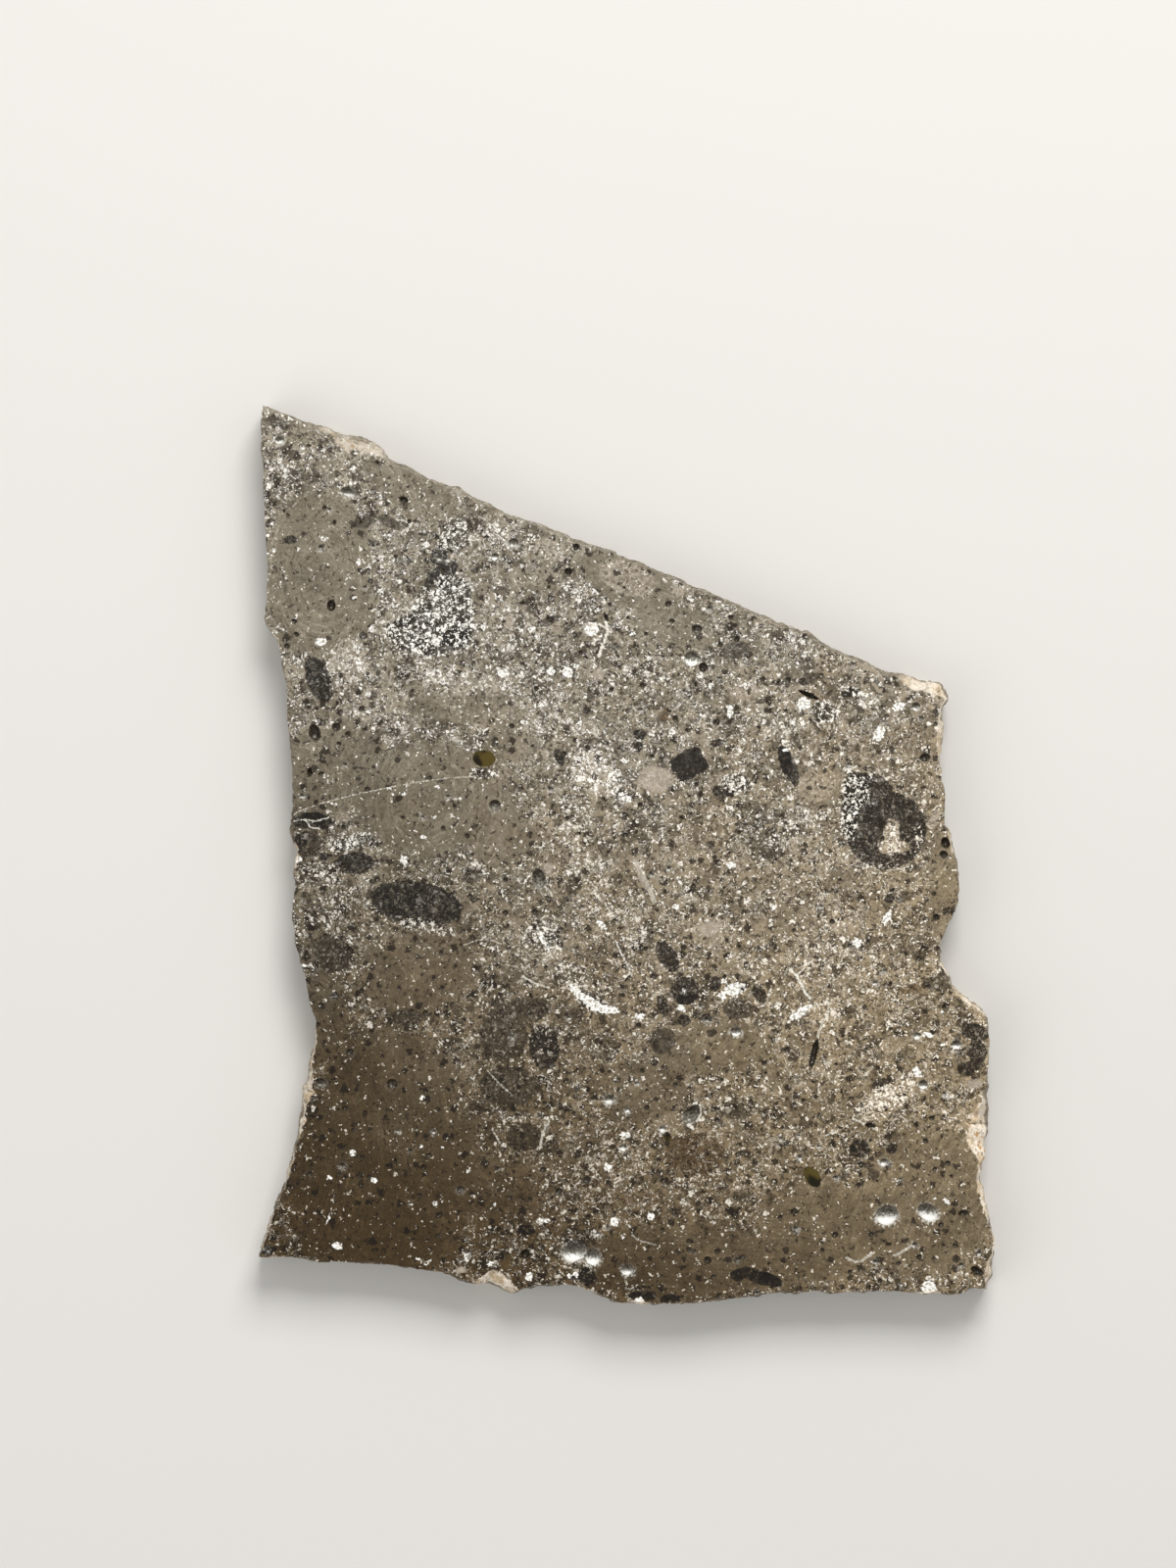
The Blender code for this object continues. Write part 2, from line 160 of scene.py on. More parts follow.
# Open pits in the face: (u, v, length, width, turn from +X in degrees, depth, highlight),
# highlight being how white a painted highlight makes the pit's wall on the side away from the light.
FACE_PITS = (
    (905, 1240, 23, 20, 20, 11, 1.0), (947, 1237, 22, 17, -35, 10, 1.0),
    (586, 1278, 24, 19, 15, 10, 0.9), (605, 1283, 16, 17, 0, 9, 1.0),
    (640, 1296, 13, 11, 0, 6, 0.9), (622, 1122, 12, 9, 20, 6, 0.9),
    (355, 502, 15, 9, -20, 7, 0.8), (412, 510, 9, 7, -20, 5, 0.0),
    (338, 618, 9, 12, 0, 6, 0.0), (285, 449, 10, 8, 0, 5, 0.9),
    (321, 748, 12, 18, 10, 7, 0.1), (343, 742, 9, 9, 0, 4, 0.0),
    (316, 788, 5, 10, 0, 6, 0.0), (505, 822, 12, 12, 0, 5, 0.35),
    (550, 897, 13, 22, 10, 5, 0.3), (327, 1105, 11, 10, 0, 4, 0.25),
    (400, 1106, 11, 10, 0, 4, 0.1), (751, 1053, 11, 10, 0, 5, 0.8),
    (706, 1137, 22, 14, 55, 6, 0.3), (831, 1074.5, 28, 6, 77, 7, 0.0),
    (888, 1148.5, 11, 5, -10, 5, 0.0), (965, 860, 9, 12, 15, 7, 0.0),
    (963, 872, 8, 9, 60, 5, 0.1), (944, 773, 11, 9, 20, 5, 0.1),
    (524, 554, 11, 10, 0, 5, 0.7), (934.5, 721, 9, 9, 0, 4, 0.7),
    (976, 1066, 10, 10, -30, 5, 0.8), (942, 1107, 10, 10, 0, 5, 0.8),
    (955.5, 936, 7, 7, 0, 4, 0.0), (997, 1297, 14, 8, -30, 6, 0.0),
    (983, 1238, 11, 6, 10, 4, 0.0), (711, 642, 11, 10, 0, 5, 0.2),
    (706, 672, 15, 16, 0, 6, 0.8), (717.5, 681, 9, 10, 0, 5, 0.0),
    (580, 583, 8, 8, 0, 5, 0.0), (588, 557, 7, 10, -10, 4, 0.0),
    (618.5, 630, 4, 9, 20, 4, 0.0), (825, 709, 22, 5, -24, 7, 0.0),
    (536, 1280, 10, 10, 0, 6, 0.0), (722, 1286, 8, 8, 0, 4, 0.0),
)
# Smaller pits, left to this mesh: (u, v, diameter, highlight), highlight being a painted highlight as
# above.
SMALL_PITS = (
    (355, 749, 7, 0.0), (369, 723, 8, 0.1), (323, 723, 5, 0.0), (315, 722, 5, 0.0),
    (953, 912, 6, 0.0), (972, 932, 5, 0.0), (448, 1240, 8, 0.0), (447, 1261, 6, 0.0),
    (570, 1216, 9, 0.1), (554, 1194, 8, 0.1), (470, 1214, 9, 0.3), (370, 1181, 6, 0.0),
    (349, 1190, 8, 0.4), (316, 1198, 7, 0.1), (352, 1131, 7, 0.0), (360, 1153, 5, 0.0),
    (377, 1153, 5, 0.0), (478, 1278, 7, 0.6), (708, 1277, 6, 0.2), (732, 1277, 7, 0.0),
    (752, 1286, 7, 0.3), (758, 1283, 6, 0.0), (852, 1260, 8, 0.0), (796, 1242, 6, 0.0),
    (867, 965, 6, 0.2), (893, 1003, 7, 0.7), (882, 1028, 6, 0.0), (860, 1057, 5, 0.0),
    (853, 1086, 5, 0.0), (936, 1057, 9, 0.9), (902, 1186, 10, 0.9), (816, 1181, 7, 0.7),
    (682, 616, 8, 0.0), (746, 630, 7, 0.0), (752, 652, 8, 0.0), (779, 693, 6, 0.0),
    (794, 697, 5, 0.0), (804, 694, 8, 0.1), (731, 737, 9, 0.1), (689, 733, 7, 0.0),
    (336, 520, 5, 0.7), (331, 518, 6, 0.0), (424, 640, 5, 0.0), (505, 568, 9, 0.9),
    (734, 606, 6, 0.5), (724, 621, 7, 0.6), (742, 618, 6, 0.6), (940, 733, 6, 0.4),
    (676, 1152, 8, 0.9), (636, 1171, 9, 0.9), (640, 1133, 7, 0.9), (732, 1143, 6, 0.1),
    (689, 1107, 6, 0.0), (722, 1080, 6, 0.0), (803, 1071, 8, 0.1), (780, 1085, 6, 0.0),
    (599, 1204, 10, 0.1), (418, 1174, 6, 0.1), (435, 1114, 5, 0.0), (301, 1189, 5, 0.0),
    (346, 1198, 5, 0.0), (366, 1200, 5, 0.0), (520, 1222, 6, 0.0), (541, 1224, 6, 0.0),
    (563, 1222, 5, 0.0), (620, 1252, 5, 0.3), (610, 1259, 6, 0.9), (661, 1273, 5, 0.0),
    (867, 1298, 6, 0.0), (898, 1307, 6, 0.0), (917, 1289, 6, 0.0), (938, 1283, 7, 0.0),
    (960, 1250, 7, 0.0), (967, 1187, 7, 0.0), (954, 1193, 6, 0.0), (951, 1141, 7, 0.0),
    (357, 970, 9, 0.0), (373, 983, 5, 0.0), (407, 1008, 5, 0.0), (451, 1008, 6, 0.0),
    (369, 1011, 7, 0.0), (434, 1033, 6, 0.0), (419, 1032, 6, 0.0), (357, 1074, 9, 0.1),
    (390, 1078, 5, 0.0), (516, 898, 6, 0.0), (452, 845, 6, 0.0), (521, 857, 5, 0.0),
)
# Pits in the sawn back, laid out like those of the face.
BACK_PITS = (
    (352, 560, 16, 12, 25, 7, 0.7), (470, 590, 9, 9, 0, 5, 0.0), (610, 700, 12, 10, -30, 6, 0.5),
    (860, 790, 20, 15, 40, 9, 0.9), (900, 930, 10, 9, 0, 5, 0.2), (420, 860, 14, 9, 70, 6, 0.6),
    (350, 1010, 9, 12, 0, 6, 0.0), (500, 1110, 22, 17, -10, 10, 1.0), (745, 1190, 16, 13, 15, 8, 0.8),
    (930, 1220, 11, 14, 0, 6, 0.3), (395, 1230, 12, 10, -40, 6, 0.0), (690, 1290, 10, 8, 0, 5, 0.8),
)

# Rock pieces in the face: (u, v, length, width, turn in degrees). Dusky ones are a
# shade darker than the ground mass, black ones much darker, and jet ones darkest.
BLACK_CLASTS = (
    (319, 838, 44, 17, -4), (361, 881, 42, 22, 5), (425, 922, 94, 44, -9),
    (555, 1068, 30, 46, 5), (805, 781, 44, 15, -68), (904, 847, 82, 80, 0),
    (886, 816, 54, 56, 0), (995, 1053, 30, 17, -12), (997, 1073, 20, 24, 0),
    (989, 1090, 24, 16, 20), (775, 1303, 48, 14, -18), (753, 1301, 16, 12, 0),
    (537, 1255, 20, 11, 0), (325, 693, 50, 24, -69), (898, 1106, 17, 12, 10),
    (877, 1172, 21, 19, 0), (732, 758, 16, 8, 10), (655, 1322, 26, 10, 0),
    (684, 1325, 22, 9, 0), (589, 1270, 22, 10, 0), (274, 1276, 16, 10, 20),
    (598, 1302, 20, 18, 0), (448, 566, 22, 16, 40), (735, 808, 18, 12, -20),
    (868, 706, 20, 9, 20), (465, 650, 32, 20, 10), (450, 586, 40, 18, 35),
    (415, 633, 34, 9, 20), (571, 773, 10, 18, 20), (699, 1011, 30, 28, 0),
    (676, 1026, 22, 12, 100), (730, 1004, 17, 11, 80), (775, 1014, 21, 12, -60),
    (681, 976, 36, 19, -58), (650, 965, 14, 12, 0), (698, 1041, 13, 12, 0),
    (721, 1039, 11, 11, 0), (908, 917, 11, 10, 0), (330, 874, 12, 8, 0),
    (306, 861, 14, 12, 0), (712, 1036, 8, 8, 0), (296, 551, 15, 9, 0),
    (653, 749, 14, 11, 0), (651, 762, 10, 11, 0), (910, 1172, 13, 10, 20),
)
DUSKY_CLASTS = (
    (312, 861, 34, 26, 0), (339, 974, 38, 36, 0), (514, 1056, 48, 58, 0),
    (520, 1108, 62, 40, 0), (676, 1062, 27, 27, 0), (958, 1003, 30, 19, 10),
    (891, 1198, 13, 12, 0), (757, 1222, 23, 11, -10), (537, 1031, 50, 26, 10),
    (372, 531, 24, 15, 20), (398, 533, 26, 10, -25), (750, 664, 30, 18, 10),
    (825, 693, 22, 12, 20), (560, 634, 24, 9, 20), (581, 640, 16, 7, 35),
    (627, 660, 16, 10, 0), (482, 893, 20, 16, 0), (860, 1200, 12, 10, 0),
    (753, 1030, 30, 22, 0), (752, 1136, 34, 12, 0), (534, 1160, 36, 30, 0),
    (285, 432, 24, 10, -30), (300, 486, 24, 14, 20), (415, 1038, 34, 18, 0),
)
JET_CLASTS = (
    (703, 780, 35, 28, 30), (801, 776, 12, 30, 15), (830, 1077, 26, 6, 77),
    (868, 842, 10, 26, 0),
    (462, 652, 22, 12, 10), (699, 1020, 18, 10, 0), (319, 833, 26, 8, 0),
    (784, 1304, 22, 10, -18), (745, 809, 10, 8, 0),
)
PALE_CLASTS = (
    (355, 676, 38, 50, 0), (606, 790, 60, 38, -38), (668, 794, 32, 24, -10), (519, 635, 12, 15, 0),
    (611, 688, 14, 11, 0), (692, 603, 11, 9, 0),
    (954, 833, 15, 8, 58), (910, 848, 15, 28, 0), (911, 864, 34, 15, 0), (955, 717, 15, 14, 0),
    (993, 1105, 20, 13, 0), (998, 1031, 24, 12, -38), (470, 705, 20, 14, 0),
    (835, 800, 44, 34, 30), (596, 745, 26, 22, 0), (760, 705, 30, 20, 0),
    (505, 700, 34, 22, 0), (640, 590, 60, 34, -20), (560, 560, 30, 22, 0),
    (725, 950, 44, 30, 20), (860, 940, 36, 26, 0), (655, 1225, 34, 26, 0),
    (906, 1122, 66, 28, 32), (838, 1040, 30, 40, 20),
)
WHITE_CLASTS = (
    (820, 718, 14, 13, 0), (897, 749, 17, 10, 70), (917, 721, 14, 9, 10),
    (750, 1009, 23, 12, 12), (603, 1023, 40, 9, -32), (622, 1030, 22, 8, -10),
    (588, 1012, 20, 7, -50), (817, 1033, 28, 8, 35),
    (553, 957, 30, 5, -62), (905, 937, 13, 8, 60), (304, 877, 8, 7, 0),
    (310, 985, 12, 3.5, 5), (412, 878, 9, 8, 0), (344, 1271, 12, 7, -20),
    (336, 1242, 3, 12, -20), (652, 1328, 9, 10, 0), (948, 1314, 15, 14, 0),
    (476, 1284, 5, 8, 0), (360, 1176, 8, 6, 0), (478, 1194, 6, 5, 0),
    (430, 1171, 6, 4, -40), (452, 1170, 4, 3, 0), (382, 1204, 7, 6, 0),
    (336, 1202, 6, 5, 0), (431, 1120, 5, 5, 0), (444, 1228, 5, 4, 0),
    (505, 1229, 4, 4, 0), (412, 810, 5, 5, 0), (446, 803, 6, 4, 0),
    (341, 820, 7, 4, 0), (432, 854, 7, 4, 0), (401, 811, 4, 4, 0),
    (443, 834, 5, 3, 0), (466, 834, 5, 4, 0), (329, 549, 7, 5, -30),
    (366, 574, 5, 8, 0), (367, 676, 8, 6, 0), (327, 655, 12, 8, 20),
    (514, 687, 12, 8, 10), (562, 685, 9, 8, 30), (579, 686, 12, 10, -40),
    (604, 642, 14, 14, 0), (645, 647, 9, 3, 10), (640, 815, 11, 6, -10),
    (745, 726, 6, 14, 0), (665, 750, 6, 4, 0), (872, 830, 8, 4, 20),
    (803, 765, 10, 4, 10), (962, 1066, 5, 3, 0), (614, 944, 14, 6, -40),
    (738, 1001, 9, 5, 10), (653, 1037, 12, 6, -5), (607, 1030, 10, 6, 0),
    (695, 1029, 9, 7, -40), (737, 1016, 7, 10, 20), (698, 1011, 4, 5, 0),
    (690, 925, 8, 5, 10), (746, 883, 10, 8, 0), (790, 926, 8, 5, 0),
    (874, 962, 10, 9, 0), (911, 1020, 5, 3, 0), (960, 1031, 7, 2, -30),
    (947, 1056, 12, 5, -10), (936, 1094, 8, 12, 20), (969, 1119, 14, 3, -20),
    (980, 925, 9, 8, 20), (966, 1226, 8, 5, -40), (953, 1222, 7, 3, -30),
    (636, 1262, 5, 4, 0), (500, 1290, 8, 4, 35), (428, 1285, 9, 3, -20),
    (437, 1288, 10, 3, 40), (627, 1247, 9, 10, 0), (664, 1241, 8, 8, 0),
    (638, 1158, 12, 6, -10), (620, 1191, 10, 8, 0), (556, 1245, 13, 5, -10),
    (540, 1303, 8, 9, 0), (581, 1302, 5, 5, 0), (588, 1301, 7, 6, 0),
)
CREAM_CLASTS = (
    (669, 795, 36, 27, -10), (519, 635, 11, 15, 0), (611, 688, 13, 11, 0), (692, 603, 10, 8, 0),
    (954, 833, 15, 8, 58), (656, 898, 38, 6, -62),
    (995, 1106, 16, 10, 0), (638, 1297, 10, 8, 0), (724, 948, 20, 14, 30), (560, 886, 10, 12, 0),
    (470, 1296, 14, 6, 10),
)
# Patches packed with white grains: (u, v, length, width, turn, how thickly).
FROTH_PATCHES = (
    (463, 608, 42, 52, 0, 0.85), (444, 633, 62, 58, 0, 0.85),
    (432, 650, 86, 44, -10, 0.85), (472, 640, 28, 50, 0, 0.9),
    (464, 548, 36, 40, 0, 0.75), (504, 546, 40, 24, -10, 0.6), (386, 577, 36, 34, 0, 0.4),
    (353, 678, 50, 54, 0, 0.4), (606, 788, 64, 40, -38, 1.0), (634, 811, 24, 14, -20, 1.0),
    (493, 789, 34, 14, 0, 0.8), (586, 820, 30, 26, 0, 0.6), (750, 798, 34, 20, 0, 0.85),
    (842, 727, 34, 24, -20, 0.9), (872, 706, 34, 16, -20, 0.6), (886, 716, 40, 14, -25, 0.5),
    (873, 805, 28, 40, 10, 1.0), (866, 834, 20, 46, 0, 1.0), (900, 886, 60, 12, 0, 0.5),
    (937, 858, 12, 40, -10, 0.5), (893, 790, 44, 12, 0, 0.6), (911, 864, 30, 16, 0, 1.0),
    (910, 850, 13, 24, 0, 1.0),
    (905, 1122, 56, 28, 25, 1.0), (888, 1130, 34, 22, 20, 0.9), (924, 1104, 26, 20, 40, 0.7),
    (845, 1027, 28, 30, 40, 0.5), (553, 1060, 22, 40, 20, 0.36), (545, 1086, 14, 14, 0, 0.4),
    (358, 860, 56, 16, 15, 0.85), (334, 890, 18, 36, 60, 0.7), (344, 925, 34, 50, 0, 0.45),
    (432, 945, 70, 14, -10, 0.6), (584, 850, 30, 50, 30, 0.5), (608, 900, 30, 70, 20, 0.45),
    (640, 945, 30, 60, 30, 0.5), (553, 956, 40, 40, 30, 0.7), (590, 1000, 60, 30, -20, 0.6),
    (603, 1022, 44, 18, -30, 0.9), (611, 1200, 50, 56, 30, 0.4), (625, 1160, 26, 30, 0, 0.4),
    (706, 1205, 60, 18, 0, 0.4), (650, 1185, 30, 30, 0, 0.35), (592, 1290, 34, 18, -10, 0.6),
    (833, 985, 70, 44, 20, 0.4), (766, 980, 40, 30, 0, 0.4), (880, 985, 40, 30, 10, 0.35),
    (292, 478, 26, 30, 0, 0.4), (283, 437, 26, 12, -30, 0.3), (278, 562, 10, 24, 0, 0.5),
    (288, 643, 14, 18, 30, 0.6), (583, 598, 20, 16, -40, 0.6), (533, 650, 60, 60, 0, 0.22),
    (540, 700, 90, 44, -20, 0.35), (700, 740, 60, 24, 20, 0.3), (790, 740, 50, 24, 0, 0.35),
    (660, 690, 60, 40, 0, 0.3), (455, 692, 80, 26, -10, 0.45), (570, 740, 60, 30, 0, 0.3),
    (940, 790, 20, 80, 0, 0.3), (820, 660, 34, 18, -25, 0.4), (812, 840, 60, 50, 0, 0.35),
)
# Stained patches and glass beads, as the rock pieces are given.
BROWN_PATCHES = (
    (708, 1178, 60, 42, 0), (877, 1172, 22, 20, 0),
    (836, 716, 12, 14, -40), (931, 1009, 20, 8, 15), (714, 1196, 26, 8, -20),
    (717, 681, 10, 10, 0), (600, 1207, 14, 14, 0), (680, 730, 16, 10, 0),
)
GLASS_BEADS = (
    (494, 774, 24, 17, -5), (829, 1201, 24, 15, -58), (681, 1160, 12, 8, -60),
)
# Quiet ground mass with few grains: (u, v, length, width, turn, how quiet).
SMOOTH_ZONES = (
    (325, 585, 120, 180, 0, 1.0), (340, 785, 120, 100, 10, 0.95), (440, 815, 160, 120, 5, 1.0),
    (395, 1200, 200, 240, -15, 1.0), (700, 1285, 220, 80, 0, 0.9), (968, 900, 44, 130, 0, 0.9),
    (640, 592, 110, 56, -25, 0.9), (950, 1225, 140, 160, 0, 0.85), (430, 990, 130, 90, 10, 0.8),
    (838, 802, 56, 40, 30, 0.9), (655, 1115, 100, 60, 0, 0.7), (845, 1255, 150, 110, 0, 0.9),
    (420, 500, 110, 44, -25, 0.8), (510, 850, 80, 70, 0, 0.8), (400, 1110, 150, 120, 0, 0.95),
    (330, 1040, 50, 100, 0, 0.9), (730, 1070, 130, 60, 0, 0.7), (945, 770, 30, 90, 0, 0.6),
    (520, 760, 70, 40, 0, 0.7), (355, 630, 60, 40, 0, 0.9), (690, 640, 90, 50, -20, 0.75),
    (540, 590, 60, 50, 0, 0.5), (500, 1210, 110, 90, 0, 0.7), (470, 720, 120, 40, 0, 0.7),
)
# Middles that the quiet ground mass has flowed round: (u, v, length, width, turn).
SWIRLS = (
    (440, 815, 84, 66, 80), (268, 1180, 60, 40, 90), (1030, 1260, 70, 50, 60),
    (330, 585, 60, 40, 90), (700, 540, 200, 60, -25), (900, 835, 90, 80, 0),
    (690, 1360, 160, 60, 0), (640, 1040, 90, 60, 20), (520, 1060, 60, 120, 0),
)
# Thin pale cracks, veins and scratches: (half width, strength, points).
VEINS = (
    (2.0, 1.0, ((710, 1126), (704, 1132), (701, 1140), (703, 1148), (707, 1151))),
    (1.2, 0.8, ((714, 1128), (715, 1136), (711, 1144))),
    (0.55, 0.55, ((302, 829), (330, 819), (370, 809), (420, 799), (456, 794), (487, 792))),
    (1.6, 1.0, ((618, 634), (620, 644), (617, 654), (613, 664), (611, 670))),
    (1.2, 0.9, ((604, 640), (611, 637), (619, 641))),
    (1.5, 1.0, ((806, 990), (813, 995), (818, 1005), (822, 1013), (827, 1019))),
    (1.0, 0.9, ((820, 989), (814, 994))),
    (1.0, 0.7, ((834, 1058), (838, 1046), (845, 1034), (846, 1022))),
    (0.7, 0.5, ((497, 1092), (508, 1104), (523, 1118))),
    (0.8, 0.6, ((502, 1152), (511, 1168))),
    (1.2, 0.5, ((561, 1143), (555, 1153), (553, 1160), (551, 1170))),
    (0.8, 0.45, ((645, 1260), (652, 1266), (665, 1269), (671, 1271))),
    (1.4, 0.55, ((864, 1284), (872, 1287), (879, 1287), (886, 1282), (892, 1278))),
    (1.5, 0.5, ((912, 1281), (919, 1278), (925, 1275), (931, 1270), (931, 1266))),
    (2.6, 0.45, ((648, 880), (655, 892), (662, 906), (668, 920))),
    (0.9, 0.8, ((628, 960), (634, 973), (641, 986), (645, 996))),
    (0.7, 0.7, ((300, 838), (312, 836), (322, 838), (336, 834))),
    (0.8, 0.8, ((312, 836), (316, 844), (328, 846))),
    (1.0, 0.7, ((404, 530), (412, 531), (420, 536), (409, 544))),
    (0.8, 0.6, ((740, 629), (748, 624), (754, 619))),
    (0.8, 0.7, ((714, 641), (713, 637), (717, 645), (722, 650))),
    (1.0, 0.6, ((552, 902), (560, 908), (564, 915))),
    (0.6, 0.5, ((472, 965), (488, 959), (503, 960), (513, 964))),
    (1.0, 0.8, ((584, 1012), (590, 1010), (586, 1004))),
    (1.0, 0.7, ((533, 996), (545, 1003), (560, 1008))),
    (0.9, 0.7, ((870, 1141), (880, 1146), (893, 1152))),
    (0.7, 0.7, ((840, 1160), (852, 1155), (862, 1160))),
)
# Where the broken rim is pale: (u, v, length, width, turn, how pale).
PALE_RIMS = (
    (948, 700, 60, 40, -15, 0.75), (995, 1150, 52, 66, -8, 1.0), (505, 1310, 44, 26, -20, 1.0),
    (362, 448, 80, 34, -30, 0.44), (310, 1120, 26, 110, 5, 0.7), (296, 1195, 20, 90, 15, 0.5),
    (272, 1255, 24, 90, 20, 0.4), (1006, 1212, 22, 90, -8, 0.9), (1013, 1290, 18, 70, 0, 0.85),
    (992, 1018, 50, 20, -38, 0.8), (973, 856, 16, 36, -20, 0.7), (962, 748, 18, 60, 0, 0.8),
    (281, 655, 20, 30, -50, 0.6), (302, 873, 14, 26, 0, 0.8), (318, 1068, 12, 50, 0, 0.7),
    (1004, 1184, 16, 40, 0, 1.0), (964, 988, 12, 30, -20, 0.8), (652, 1331, 24, 12, 0, 0.8),
    (948, 1322, 24, 14, 0, 0.8), (600, 1316, 30, 10, 0, 0.4), (830, 640, 60, 14, -25, 0.35),
)

# The lists that the back shows too. Those of zones have soft edges.
PLACED_LISTS = {
    "black": BLACK_CLASTS, "jet": JET_CLASTS, "dusky": DUSKY_CLASTS, "pale": PALE_CLASTS,
    "cream": CREAM_CLASTS, "white": WHITE_CLASTS, "brown": BROWN_PATCHES, "bead": GLASS_BEADS,
    "froth": FROTH_PATCHES, "quiet": SMOOTH_ZONES,
}
ZONES = ("froth", "quiet")
ZONE_END = 1.15
ZONE_EDGE = 0.35
JET_POWER = 5

# How pieces differ on the back: those of at least a size, which run through, only a little.
# Shifts and the size are in the sheet's steps, turns in degrees.
THROUGH_SIZE = 26
THROUGH_SHIFT = 6
THROUGH_SIZES = (0.7, 1.15)
OTHER_SHIFT = 160
OTHER_SIZES = (0.8, 1.3)
BACK_TURN = 25
BACK_SEED = 40

# The broken wall's noises, each with its own seed.
SEEDS = {
    "crumb": 3.0, "rim crumb": 5.0, "grain": 7.0, "rim": 9.0, "underside": 11.0, "row": 13.0,
    "ripple": 17.0,
}
WALL_STEADY = 0.5
WALL_LUMPY = 0.65
WALL_GRAINY = 0.3
RIM_SWING = 0.5
RIM_GRAIN = WALL_GRAIN * 0.8
RIM_CRUMB = WALL_CRUMB * 2
RIM_CRUMB_MM = 0.05
RIM_LEAST = 0.02 * MM
UNDERSIDE_SWING = 0.6
ROW_SWING = 0.04 * MM
RIPPLE_SIZE = WALL_CRUMB * 1.6
RIPPLE_DEPTH = 0.4 * MM
RIPPLE_SHARE = 0.22

# How broken the rim, and the edges of the face and of the back, look beside the wall.
RIM_BROKEN = 0.7
EDGE_BROKEN = 0.5
SHARP_ANGLE = math.radians(38)

# The points of the face and the back, by spacings: how far they stray from an even grid,
# stay off the outline and stay off points of detail, which stay off it by a length.
FACE_GRID_SEED = 1
BACK_GRID_SEED = 2
GRID_JITTER = 0.12
GRID_CLEAR = 0.45
GRID_THIN = 0.5
DETAIL_CLEAR = 0.05 * MM
MERGE_GAP = 1e-9

# Rings of points in a pit: (reach in pit radii, share of the outermost ring's points).
PIT_RINGS = ((1.06, 1.0), (0.97, 0.9), (0.82, 0.85), (0.58, 0.8), (0.3, 0.6))
PIT_RING_TURN = 9
PIT_SIDE = 2.0
PIT_SIDES = (8, 30)
PIT_LEAST_SIDES = 6

# Points beside a crack: their spacing along it, and their distance in half widths.
VEIN_SPACING = 0.07 * MM
VEIN_MARGIN = 1.6

# The form of a pit's bowl, and where its painted highlight and the painted highlight on its lip are,
# in pit radii.
PIT_REACH = 1.6
BOWL_POWER = 2.4
HOLLOW_EDGE = 0.10
HIGHLIGHT_SLOPE = 0.9
HIGHLIGHT_MIDDLE = 0.5
HIGHLIGHT_LEAST = 0.12
LIP_REACH = 1.04
LIP_WIDTH = 0.2
LIP_START = 0.75
LIP_LEAST = 0.25

# Small pits: length, width, turn and depth, by diameter.
SMALL_PIT_SHAPE = (0.9, 0.75, 30, 0.36)

# Scattered tiny pits: how many, their sizes in steps, widths and depth by length, painted
# highlight, and how clear they stay of other pits.
FACE_TINY_PITS = 260
BACK_TINY_PITS = 90
FACE_PIT_SEED = 7
BACK_PIT_SEED = 8
TINY_SIZES = (3.2, 6.2)
TINY_WIDTHS = (0.6, 1.0)
TINY_DEPTH = 0.45
TINY_HIGHLIGHTS = (0.0, 0.0, 0.0, 0.0, 0.0, 0.6)
TINY_CLEAR = 0.75
TINY_GAP = 3

# The flat map that the rock's colours can be baked on: shares of its side per metre, and
# the lowest places of the face, the back and the strips that the wall is cut into.
MAP_NAME = "OFBake"
MAP_FACE_SCALE = 21.5
MAP_BACK_SCALE = 10.8
MAP_FACE_PLACE = (0.007, 0.198)
MAP_BACK_PLACE = (0.667, 0.198)
MAP_STRIPS = 3
MAP_STRIP_PITCH = 0.063
MAP_STRIP_HEIGHT = 0.056
MAP_MARGIN = 0.007


def from_sheet(points):
    """Turn places (u, v) on the ruled sheet into an array of metres."""
    points = np.asarray(points, dtype=float)
    return np.stack(((points[..., 0] - MIDDLE_U) * STEP, (MIDDLE_V - points[..., 1]) * STEP), -1)


def noise_at(places, height, size, seed=0.0):
    """Return smooth noise at each place, of lumps the given size."""
    shift = Vector((seed, seed * 0.37, seed * 0.71))
    heights = np.broadcast_to(height, (len(places),))
    return np.array([
        noise.noise(Vector((x / size, y / size, z / size)) + shift)
        for (x, y), z in zip(places.tolist(), heights.tolist())
    ])


def walk_outline():
    """Return the outline's places and rim widths, split into even short sides."""
    corners = np.array([point[:2] for point in OUTLINE], dtype=float)
    rims = np.array([point[2] for point in OUTLINE], dtype=float)
    places = []
    widths = []
    for index in range(len(corners)):
        after = (index + 1) % len(corners)
        side = np.linalg.norm(corners[after] - corners[index]) * STEP
        parts = max(1, round(side / WALL_SPACING))
        for part in range(parts):
            share = part / parts
            places.append(corners[index] * (1 - share) + corners[after] * share)
            widths.append(rims[index] * (1 - share) + rims[after] * share)
    return from_sheet(places), np.array(widths) * STEP


def inward_directions(places, reach=7):
    """Return at each place the direction into the slice, eased over its neighbours."""
    along = np.zeros_like(places)
    for gap in range(1, reach + 1):
        side = np.roll(places, -gap, 0) - np.roll(places, gap, 0)
        along += side / np.linalg.norm(side, axis=1, keepdims=True) / gap
    inward = np.stack((-along[:, 1], along[:, 0]), 1)
    return inward / np.linalg.norm(inward, axis=1, keepdims=True)


def ease_folds(places, inward, insets, least=0.2, easing=0.8, rounds=60):
    """Draw a ring's points back towards the outline where the ring would fold over."""
    insets = insets.copy()
    side = np.roll(places, -1, 0) - places
    span = (side * side).sum(1)
    for _ in range(rounds):
        spots = places + inward * insets[:, None]
        eased = np.roll(spots, -1, 0) - spots
        folded = (eased * side).sum(1) < least * span
        if not folded.any():
            break
        insets[folded | np.roll(folded, 1)] *= easing
    return insets


